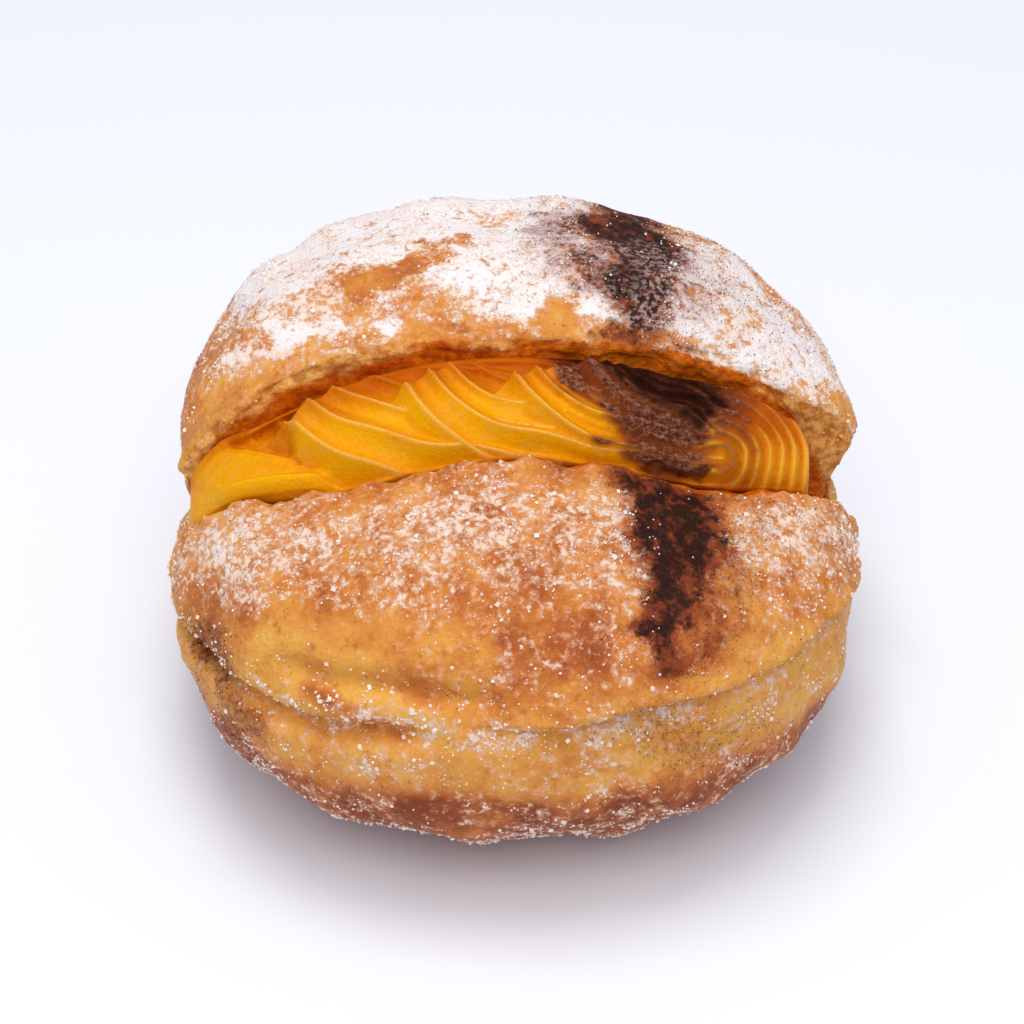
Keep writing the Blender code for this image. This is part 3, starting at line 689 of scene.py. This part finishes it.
def strew(name, finish, grid, density, sizes, seed, shape, sunk, uneven, power=2.0):
    """Lays copies of a small shape on a surface grid: sizes are how many, smallest and largest, and the
    higher the power, the fewer are large. Each is stretched and dented unevenly, turned at random, sunk
    by a share of its size and given a random tone. shape is its corners and faces."""
    count, smallest, largest = sizes
    corners, faces = shape
    places, away = scatter(grid, density, count, seed)
    across = smallest + (largest - smallest) * np.random.default_rng(seed + 1).uniform(size=count) ** power
    draw = np.random.default_rng(seed + 2)
    scale = across[:, None, None] * draw.uniform(1 - uneven, 1, (count, 1, 3))
    dented = corners[None] * draw.uniform(1 - uneven, 1, (count, len(corners), 1))
    points = np.einsum("nij,nkj->nki", turned_at_random(count, draw), dented * scale)
    points = points + (places + away * (across * (0.5 - sunk))[:, None])[:, None]
    tone = np.repeat(draw.uniform(size=count), len(corners))
    points = points.reshape(-1, 3)
    points[:, 2] = np.maximum(points[:, 2], OFF_FLOOR)
    faces = (faces[None] + (np.arange(count) * len(corners))[:, None, None]).reshape(-1, faces.shape[1])
    piece = add_skin(name, points + TO_FRAME, faces.tolist(), finish, tone=tone)
    piece.data.shade_flat()


def crystal_finish():
    """Clear to milky sugar crystals: bright, glossy and slightly warm."""
    finish, tree, place = blank_finish("sugar_crystals")
    milky = plus(amount(tree, "tone"), around_half(cloud(place, 0.0004), 0.5))
    colour = tint(milky, *CRYSTAL_COLOURS)
    surface(tree, colour, 0.28, 0.5, Subsurface_Weight=0.15, Subsurface_Scale=0.0006)
    return finish


crystals = crystal_finish()
up_facing = ramp((smooth[..., 2] - 0.001) / 0.006)
open_crust = ramp((row - CUT_ROWS - 2.0) / 4.0)[:, None] * (1 - 0.93 * np.clip(cinnamon, 0, 1)) * up_facing
under_edge = bell((smooth[..., 2] - 0.01) / 0.007) * outside
in_fold = bell(above / 0.003) * outside
coarse = open_crust * (0.03 + 0.5 * ramp(sugar / 0.7)) + 1.3 * under_edge + 0.9 * in_fold
coarse = coarse * (0.06 + ramp(mottle(smooth, 0.0035, 71) + 0.3) ** 3)
strew("coarse_sugar", crystals, dough_points, coarse, COARSE_SUGAR, 72, CRYSTAL, 0.42, 0.35)
fine = open_crust * (0.05 + 1.6 * ramp(sugar / 0.7) ** 1.5) + 0.6 * under_edge + 0.6 * in_fold
fine = fine * (0.03 + ramp(mottle(smooth, 0.0024, 75) + 0.3) ** 3)
strew("fine_sugar", crystals, dough_points, fine, FINE_SUGAR, 76, CRYSTAL, 0.3, 0.35)

# --------------------------------------
# The custard. Firm yellow custard, piped into the slit with a star nozzle from left to right: four
# strokes, each laid over the tail of the one before, and a curl where the nozzle was lifted off.

GAP = 0.0004
CUSTARD_FROM = -97.0 * DEGREE
OPENING_FROM = -62.0 * DEGREE
CUSTARD_TO = 60.0 * DEGREE
CUSTARD_BOTTOM = 0.84
LEFT_BOTTOM = 0.6
JAW_EDGE = 0.055
LID_LINE = 0.06
SINK_REACH = 0.0028
LID_EDGE = (
    (-0.046, 0.055), (-0.041, 0.07), (-0.036, 0.12), (-0.03, 0.13), (-0.025, 0.115), (-0.016, 0.1),
    (-0.008, 0.078), (0.003, 0.066), (0.012, 0.072), (0.02, 0.09), (0.028, 0.11), (0.04, 0.125),
)
END_ROUND = 6.0 * DEGREE
SWELL = (
    (-0.047, 0.0002), (-0.038, 0.0004), (-0.03, 0.0008), (-0.02, 0.0014), (0.028, 0.0016), (0.044, 0.0012),
)
STROKES = (  # where the leading crest starts, along and across the slit, where it ends, its run, tooth
    (-0.0317, 0.0113, -0.006, 0.016, 0.0042),
    (-0.0144, 0.0121, -0.002, 0.0062, 0.0042),
    (0.0007, 0.0112, 0.0026, 0.0046, 0.0038),
    (0.0108, 0.0157, 0.0074, 0.0038, 0.0025),
)
TOOTH_DEPTH = 0.0016
WIDE_TOOTH = 0.0038
TOOTH_STEP = 0.0009
WOBBLE = 0.00022
WOBBLE_RUN = 0.0021
STROKE_HEIGHT = 0.0038
STROKE_EDGE = 0.0012
STROKE_BODY = (
    (-0.004, 0.0), (-0.0028, 0.5), (0.0, 1.0), (0.0042, 0.86), (0.0084, 0.52), (0.012, 0.12), (0.022, 0.0),
)
START_SLOPE = 0.54
FINE_RIB = 0.0012
RIB_DEPTH = 0.0002
CREST_WIDTH = 0.00042
LID_SHADE = (
    (-46, 20), (-38, 22.5), (-31, 24), (-24, 25), (-17, 27.5), (-8, 28.5), (4, 28.5), (17, 27), (26, 25.5),
    (32, 22), (39, 20),
)
CURL_A = 0.0288
CURL_B = 0.0034
CURL_RADIUS = 0.0131
CURL_TOOTH = 0.0018
CURL_DEPTH = 0.0006
FOLD_B = 0.0024
FOLD_HEIGHT = 0.0024
FOLD_SPAN = (-0.045, -0.024, 0.006)
LEDGE_LINE = (-0.0421, 0.0099, -0.4)  # a place on its end, along and across, and the slope there
LEDGE_HEIGHT = 0.0006
HOLLOW_DEPTH = 0.0036
HOLLOW_FROM = -0.043
COLUMNS = 460
TOP_ROWS = 120
WALL_ROWS = 12
STRIPE_EDGE = (3.0, 29.2, 14.2 / 18.6, 12.0 / 18.6)  # a place on its left edge, and the way into it
STRIPE_DUST = ((0.34, 30, 21, 7, 4.5),)
BURNT_PATCHES = ((0.85, 11.0, 30.0, 18.0, 28.3, 2.4), (0.9, 17.0, 27.5, 27.0, 21.5, 4.4))
BURNT_TIP = ((0.62, 19.5, 12.6, 27.0, 10.8, 1.3),)
CUSTARD_LIT_TO_SHADED = (
    (0.00, (0.88, 0.42, 0.001, 1)), (0.45, (0.77, 0.27, 0.001, 1)), (1.00, (0.54, 0.112, 0.001, 1)),
)
CREST_HIGHLIGHT = (0.97, 0.6, 0.15, 1)
DRIED = (0.86, 0.45, 0.05, 1)
STAINED = (0.36, 0.06, 0.001, 1), (0.1, 0.011, 0.001, 1)
DUSTY = (0.085, 0.015, 0.005, 1), (0.46, 0.195, 0.115, 1)
BURNT = (0.02, 0.0025, 0.001, 1)


def scallops(s, tooth, depth):
    """Grooves of a star nozzle: parabolic hollows one tooth wide that leave sharp crests between them."""
    across = 2 * (s / tooth - np.floor(s / tooth)) - 1
    return -depth * (1 - across**2), bell((1 - np.abs(across)) * tooth / CREST_WIDTH)


def stroke(a, b, start_a, start_b, floor, run, tooth):
    """One piped stroke: the height of its body and grooves, how near a crest is, how far down a tooth's
    far side, and s, the distance past the leading crest, which starts at (start_a, start_b) and falls
    towards b = floor over a run in a. Past the stepped line where its teeth begin it drops away."""
    fall = (start_b - floor) * np.exp(-np.clip((a - start_a) / run, -1, None))
    s = (b - floor - fall) / np.sqrt(1 + (fall / run) ** 2)
    s = s + WOBBLE * np.sin(a / WOBBLE_RUN + start_a / 0.0003)
    groove, crest = scallops(s + 4 * tooth, tooth, TOOTH_DEPTH * np.clip(tooth / WIDE_TOOTH, 0.4, 1))
    beyond = (b - start_b - START_SLOPE * (a - start_a)) / np.sqrt(1 + START_SLOPE**2)
    beyond = beyond - TOOTH_STEP * ((s / tooth + 4) % 1)
    body = STROKE_HEIGHT * (through(s, STROKE_BODY) - np.clip(beyond, 0, None) / STROKE_EDGE)
    ribs = (0.5 - 0.5 * np.cos(2 * np.pi * s / FINE_RIB)) * ramp((a - 0.001) / 0.008)
    groove = (groove - RIB_DEPTH * ribs) * (s > -0.0036)
    far_side = (1 - s / tooth % 1) ** 1.5 + 0.45 * ribs
    crest = crest * ramp(body / 0.0012) * ((s > -0.0042) & (beyond < 0.0006))
    return body, groove, crest, far_side, s


def custard_relief(a, b, width):
    """What stroke gives, for all the piping over the custard's smooth swell. The highest stroke shows;
    they turn into the curl at the right, and a smooth fold and ledge lie at the left."""
    laid = np.array([stroke(a, b, *each) for each in STROKES])
    top = (laid[:, 0] + laid[:, 1]).argmax(0)
    body, groove, crest, far_side, across = np.take_along_axis(laid, top[None, None], 0)[0]
    body = np.maximum(body, -0.0004)
    radius = np.hypot(np.clip(a - CURL_A, 0, None), b - CURL_B) + 0.00012 * np.sin(b / 0.0012)
    rings, ring_crest = scallops(radius, CURL_TOOTH, CURL_DEPTH)
    curl = 0.92 * STROKE_HEIGHT - STROKE_HEIGHT * np.clip(radius - CURL_RADIUS, 0, None) / STROKE_EDGE
    to_curl = ramp((a - CURL_A + 0.005) / 0.006)
    body = body * (1 - to_curl) + curl * to_curl
    groove = groove * (1 - to_curl) + rings * to_curl
    crest = crest * (1 - to_curl) + 0.5 * ring_crest * to_curl
    fold = FOLD_HEIGHT * np.exp(-np.where(b > FOLD_B, (b - FOLD_B) / 0.0008, (FOLD_B - b) / 0.0024) ** 2)
    at_a, at_b, slope = LEDGE_LINE
    ledge_end = at_b + slope * (a - at_a)
    left = ramp((-0.03 - a) / 0.002)
    hollow = HOLLOW_DEPTH * ramp((b - ledge_end) / 0.002) * ramp((a - HOLLOW_FROM) / 0.003)
    body = body + left * (LEDGE_HEIGHT * ramp((ledge_end - b) / 0.001) - hollow)
    groove = groove + fold * window(a, *FOLD_SPAN)
    flat_from = 0.0018 + 0.0012 * left
    under_lid = ramp((b - width) / flat_from + 1)
    far_side = far_side * (1 - left) * ramp(body / 0.001)
    far_side = far_side * (1 - to_curl) - 1.1 * rings / CURL_DEPTH * to_curl
    across = across * (1 - to_curl) + radius * to_curl
    return body * (1 - 0.8 * under_lid), groove * (1 - under_lid), crest * (1 - under_lid), far_side, across


def custard_loops():
    """Loops round the custard, one for each column along the slit: up the jaw's face, over the top and
    down the lid's face. The top bulges out of the opening by the swell and the piped relief. Also the
    painted shade at each place (darker where it lies low in a hollow, on the far side of each tooth and
    in a painted shadow under the lid), how near a crest it is, and noise drawn out along the strokes."""
    along = np.linspace(CUSTARD_FROM, CUSTARD_TO, COLUMNS)
    turn = np.arccos(np.tan(along / 2) / SLIT_REACH)
    fullness = np.sqrt(1 - np.clip(1 - (CUSTARD_TO - along) / END_ROUND, 0, 1) ** 2)
    place = cut_face(np.full(COLUMNS, JAW_EDGE), -turn)[:, 0]
    bottom = LEFT_BOTTOM + (CUSTARD_BOTTOM - LEFT_BOTTOM) * ramp((along - CUSTARD_FROM) / -OPENING_FROM)
    depths = (JAW_EDGE, through(place, LID_EDGE), LID_LINE)
    jaw_edge, lid_edge, lid_line = (bottom + (depth - bottom) * fullness for depth in depths)
    rise = np.linspace(0, 1, WALL_ROWS + 1)[:-1, None]
    turns = turn + 0 * rise
    jaw_wall = cut_face(bottom + (jaw_edge - bottom) * rise, -turns)
    lid_wall = cut_face(bottom + (lid_edge - bottom) * rise, turns)
    jaw_top, lid_top = cut_face(jaw_edge, -turn), cut_face(lid_line, turn)
    sunk = cut_face(lid_edge, turn) - lid_top
    span = lid_top - jaw_top
    width = np.linalg.norm(span, axis=-1)
    out = np.cross(np.array([1.0, 0.0, 0.0]), span)
    out = out / np.linalg.norm(out, axis=-1, keepdims=True)
    t = np.linspace(0, 1, TOP_ROWS)[:, None]
    base = jaw_top + (GAP + (width - 2 * GAP) * t)[..., None] * (span / width[:, None])
    a, b = base[..., 0], width * t
    body, groove, crest, far_side, across = custard_relief(a, b, width + 0 * t)
    arch = np.where(t < 0.5, (4 * t * (1 - t)) ** 0.75, 1 - (2 * t - 1) ** 6)
    open_here = np.clip(width / 0.008, 0, 1) * fullness
    height = open_here * (arch * (through(a, SWELL) + body) + ramp(t / 0.04) * ramp((1 - t) / 0.1) * groove)
    sink = ramp((b - width) / SINK_REACH + 1)
    top = base + height[..., None] * out + sink[..., None] * sunk
    inward = GAP * (lid_wall - jaw_wall) / np.linalg.norm(lid_wall - jaw_wall, axis=-1, keepdims=True)
    loops = np.concatenate([jaw_wall + inward, top, (lid_wall - inward)[::-1]])
    walls = np.zeros_like(rise * place)
    on_top = ((body + 0.5 * groove) * ramp(t / 0.1) - 0.003 * sink) * open_here
    streaks = mottle(np.stack([a / 9, across, b / 20], -1), 0.0008, 63, 2)
    u, v = facing(loops[WALL_ROWS:-WALL_ROWS])
    shade = ramp((v - through(u, LID_SHADE) + 8.0) / 7.5)
    # Painted shade: darker where the custard lies low in a hollow and on the far side of each tooth, plus a
    # painted shadow under the lid's edge; the hidden jaw wall is painted fully shaded.
    deep = 0.55 * ramp((0.002 - on_top) / 0.0036) + 0.5 * far_side * (1 - 0.4 * shade)
    deep = deep + 0.8 * shade + 0.1 * streaks
    deep, crest, streaks = (np.concatenate([walls, part, walls]) for part in (deep, crest, streaks))
    return loops, deep + (np.arange(len(loops)) < WALL_ROWS)[:, None], crest, streaks


def custard_finish():
    """Satin custard, lit from within: orange, with painted shade where it lies deep or under the lid, a
    painted highlight along the crests and pale dried patches, with the stripe of cinnamon over the right
    half and a few dark specks."""
    finish, tree, place = blank_finish("satin_custard")
    soft = cloud(place, 0.004, 3.0)
    curdled = cloud(place, 0.0007, 4.0, 0.7)
    speckle = cloud(place, 0.0007, 6.0, 0.85)
    deep, crest = amount(tree, "deep"), amount(tree, "crest")

    # The colour runs from lit yellow to dark orange by the painted shade.
    depth = plus(deep, around_half(curdled, 0.75), around_half(soft, 0.3))
    colour = graded(depth, CUSTARD_LIT_TO_SHADED)
    # Painted highlight along the crests, fainter where the painted shade is deep.
    pale = times(crest, level(depth, 0.2, 0.9, 0.72, 0.25))
    pale = times(pale, level(curdled, 0.35, 0.6, 0.55, 1.0))
    colour = tint(pale, colour, CREST_HIGHLIGHT)
    dried = times(level(soft, 0.5, 0.64), level(curdled, 0.42, 0.58, 0.0, 0.5))
    dried = times(dried, level(depth, 0.8, 0.5))
    colour = tint(dried, colour, DRIED)

    spiced = amount(tree, "cinnamon")
    stain = level(plus(spiced, around_half(soft, 0.5)), 0.02, 0.6, 0.0, 0.96)
    colour = tint(stain, colour, tint(level(spiced, 0.35, 0.85), *STAINED))
    ridge = times(maths("POWER", crest, 0.12), level(spiced, 0.2, 0.6, 0.0, 1.2))
    ridge = maths("SUBTRACT", plus(ridge, 0.9), times(deep, 0.55))
    dust = plus(times(spiced, ridge), around_half(speckle, 2.0))
    spice = level(dust, 0.3, 1.1, 0.0, 0.92)
    colour = tint(spice, colour, tint(level(speckle, 0.42, 0.62), *DUSTY))
    black = plus(amount(tree, "burnt"), around_half(speckle, 1.6), around_half(soft, 0.8))
    colour = tint(level(black, 0.28, 0.88, 0.0, 0.95), colour, BURNT)

    height = plus(curdled, times(spice, speckle))
    surface(
        tree, colour, level(spice, 0.0, 1.0, 0.34, 0.8), 0.07, Normal=bumps(height, 0.6, 0.0004),
        Subsurface_Weight=0.12, Subsurface_Radius=(1.0, 0.45, 0.05), Subsurface_Scale=0.0025,
    )
    return finish


loops, deep, crest, streaks = custard_loops()
u, v = facing(loops)
u = u + 1.8 * mottle(loops, 0.0042, 61)
v = v + 1.8 * mottle(loops, 0.0042, 62)
edge_u, edge_v, way_u, way_v = STRIPE_EDGE
stripe = 0.8 * ramp(((u - edge_u) * way_u + (v - edge_v) * way_v + 2.6) / 7.0)
stripe = stripe * (1 - 0.6 * ramp((u - 20) / 10.0)) * (1 - ramp((u - 33) / 13.0))
stripe = np.clip(stripe * (1 + 0.35 * streaks) + painted(u, v, STRIPE_DUST), 0, 1)
burnt = np.clip(painted(u, v, BURNT_PATCHES) * (1 + 0.5 * streaks) + painted(u, v, BURNT_TIP), 0, 1)
rows, columns = loops.shape[:2]
index = np.arange(rows * columns).reshape(rows, columns)
here, above_here = index, np.roll(index, -1, 0)
quads = np.stack([here[:, :-1], here[:, 1:], above_here[:, 1:], above_here[:, :-1]], -1).reshape(-1, 4)
ends = loops.mean(0)[[0, -1]]
left_end = np.stack([here[:, 0], above_here[:, 0], np.full(rows, index.size)], -1)
right_end = np.stack([above_here[:, -1], here[:, -1], np.full(rows, index.size + 1)], -1)
custard = add_skin(
    "piped_custard",
    np.concatenate([loops.reshape(-1, 3), ends]) + TO_FRAME,
    quads.tolist() + left_end.tolist() + right_end.tolist(),
    custard_finish(),
    crest=np.append(crest, [0, 0]),
    deep=np.append(deep, [1, 1]),
    cinnamon=np.append(stripe, [0, 0]),
    burnt=np.append(burnt, [0, 0]),
)
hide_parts("custard")

# --------------------------------------
# Crumbs torn off where the slit was cut, clinging to the edges of the crumb and in both corners.

CRUMBS = (300, 0.0004, 0.0011)
GOLDEN = (1 + 5**0.5) / 2
LOOSE_CRUMB = (0.7, 0.28, 0.035, 1), (0.92, 0.6, 0.24, 1)


def icosahedron():
    """Its corners, which are those of three golden rectangles, and its faces: all corner triples as near
    to each other as its edges, turned to face outwards."""
    card = np.array([(0, s, t * GOLDEN) for s in (-1, 1) for t in (-1, 1)])
    corners = np.concatenate([card, np.roll(card, 1, 1), np.roll(card, 2, 1)]) / 4
    edge = np.linalg.norm(corners[:, None] - corners[None], axis=-1)
    near = np.isclose(edge, edge[edge > 1e-9].min())
    faces = []
    for i, j, k in np.ndindex(12, 12, 12):
        if i < j < k and near[i, j] and near[j, k] and near[i, k]:
            out = np.dot(np.cross(corners[j] - corners[i], corners[k] - corners[i]), corners[i]) > 0
            faces.append((i, j, k) if out else (k, j, i))
    return corners, np.array(faces)


def crumb_finish():
    """Loose crumb: pale yellow to toasted, each crumb its own tone, matt and rough."""
    finish, tree, place = blank_finish("loose_crumb")
    grain = cloud(place, 0.0004)
    tone = plus(amount(tree, "tone"), around_half(grain, 0.6))
    surface(tree, tint(tone, *LOOSE_CRUMB), 0.8, 0.2, Normal=bumps(grain, 0.5, 0.0001))
    return finish


edge = (1 - soaked_and_shaded) * (1 - outside) * ramp((CUT_ROWS + 4.0 - row) / 3.0)[:, None] * is_lid
ends = bell((np.abs(smooth[..., 0]) - 0.0475) / 0.003) * window(smooth[..., 2], 0.026, 0.05, 0.006)
ends = ends * bell(from_rim / 0.012) * ramp((0.5 - in_cut) / 0.2)
torn = 0.35 * edge + 1.6 * ends
strew("torn_crumbs", crumb_finish(), dough_points, torn, CRUMBS, 91, icosahedron(), 0.45, 0.6, 2.5)

# --------------------------------------
# Ground cinnamon: dark specks in and around the stripe, and a few blown over everything else.

SPECKS = (8000, 0.0001, 0.00042)
SPECKS_ON_CUSTARD = (1500, 0.0001, 0.00042)
BARE_TOP_ROWS = 12
SPECK = (
    np.array([(1, 0, 0), (-1, 0, 0), (0, 1, 0), (0, -1, 0), (0, 0, 0.7), (0, 0, -0.7)]) / 2,
    np.array([(0, 2, 4), (2, 1, 4), (1, 3, 4), (3, 0, 4), (2, 0, 5), (1, 2, 5), (3, 1, 5), (0, 3, 5)]),
)
BARK = (0.04, 0.01, 0.005, 1), (0.26, 0.07, 0.022, 1)
SPECKED_LID = ((0.1, 33, 32, 13, 15),)


def speck_finish():
    """Ground bark, from reddish brown to nearly black."""
    finish, tree, place = blank_finish("ground_cinnamon")
    tone = plus(amount(tree, "tone"), around_half(cloud(place, 0.0003), 0.5))
    surface(tree, tint(tone, *BARK), 0.75, 0.2)
    return finish


specked = speck_finish()
on_crust = open_crust * (0.012 + 0.5 * window(cinnamon, 0.06, 0.95, 0.2)) + 0.05 * in_fold * (bearing < -140)
blown = 0.03 * (smooth[..., 2] > 0.04) * ramp(mottle(smooth, 0.008, 81) + 0.3)
on_crust = on_crust + (blown + painted(*facing(smooth), SPECKED_LID)) * is_lid * outside
strew("cinnamon_specks", specked, dough_points, on_crust, SPECKS, 82, SPECK, 0.1, 0.4)
top = slice(WALL_ROWS, WALL_ROWS + TOP_ROWS - BARE_TOP_ROWS)
on_top = 0.02 + window(stripe[top], 0.05, 0.9, 0.2)
strew("specks_on_custard", specked, loops[top], on_top, SPECKS_ON_CUSTARD, 85, SPECK, 0.2, 0.4)

# --------------------------------------
# The floor, the light and the camera.

PAPER = (0.89, 0.92, 0.966, 1)
SKY = (0.91, 0.91, 1.05, 1)
SKY_STRENGTH = 0.52
LAMP_COLOUR = (1.0, 0.99, 0.955)
VIEW_ELEVATION = 40 * DEGREE
VIEW_DISTANCE = 0.45
VIEW_TARGET = np.array([0.0, 0.0, 0.03]) + TO_FRAME

paper, paper_tree, _ = blank_finish("white_paper")
surface(paper_tree, PAPER, 0.9, 0.1)
floor_mesh = bpy.data.meshes.new("floor")
floor_mesh.from_pydata([(-2, -2, 0), (2, -2, 0), (2, 3, 0), (-2, 3, 0)], [], [(0, 1, 2, 3)])
floor_mesh.materials.append(paper)
floor = bpy.data.objects.new("floor", floor_mesh)
bpy.context.scene.collection.objects.link(floor)

world = bpy.data.worlds.new("white_room")
world.use_nodes = True
plug(world.node_tree.nodes["Background"], {"Color": SKY, "Strength": SKY_STRENGTH})
bpy.context.scene.world = world
bpy.context.scene.view_settings.view_transform = "Standard"


def add_softbox(name, place, size, power):
    """A round lamp of this size in metres and power in watts, aimed at the doughnut's middle."""
    lamp = bpy.data.lights.new(name, "AREA")
    lamp.shape = "DISK"
    lamp.size = size
    lamp.energy = power
    lamp.color = LAMP_COLOUR
    softbox = bpy.data.objects.new(name, lamp)
    softbox.location = place
    aim = Vector((0, 0, 0.03)) - Vector(place)
    softbox.rotation_euler = aim.to_track_quat("-Z", "Y").to_euler()
    bpy.context.scene.collection.objects.link(softbox)


add_softbox("overhead", (-0.04, 0.00, 0.9), 0.42, 3.2)
add_softbox("front_key", (0.00, -0.45, 0.72), 0.55, 2.5)

camera = bpy.data.cameras.new("camera")
camera.lens = 108.2
camera.sensor_width = 36.0
camera.shift_x = -2 / 1024
camera.shift_y = 38 / 1024
camera.clip_start = 0.01
viewer = bpy.data.objects.new("camera", camera)
back = np.array([0.0, -np.cos(VIEW_ELEVATION), np.sin(VIEW_ELEVATION)])
viewer.location = VIEW_TARGET + VIEW_DISTANCE * back
viewer.rotation_euler = Vector(-back).to_track_quat("-Z", "Y").to_euler()
bpy.context.scene.collection.objects.link(viewer)
bpy.context.scene.camera = viewer
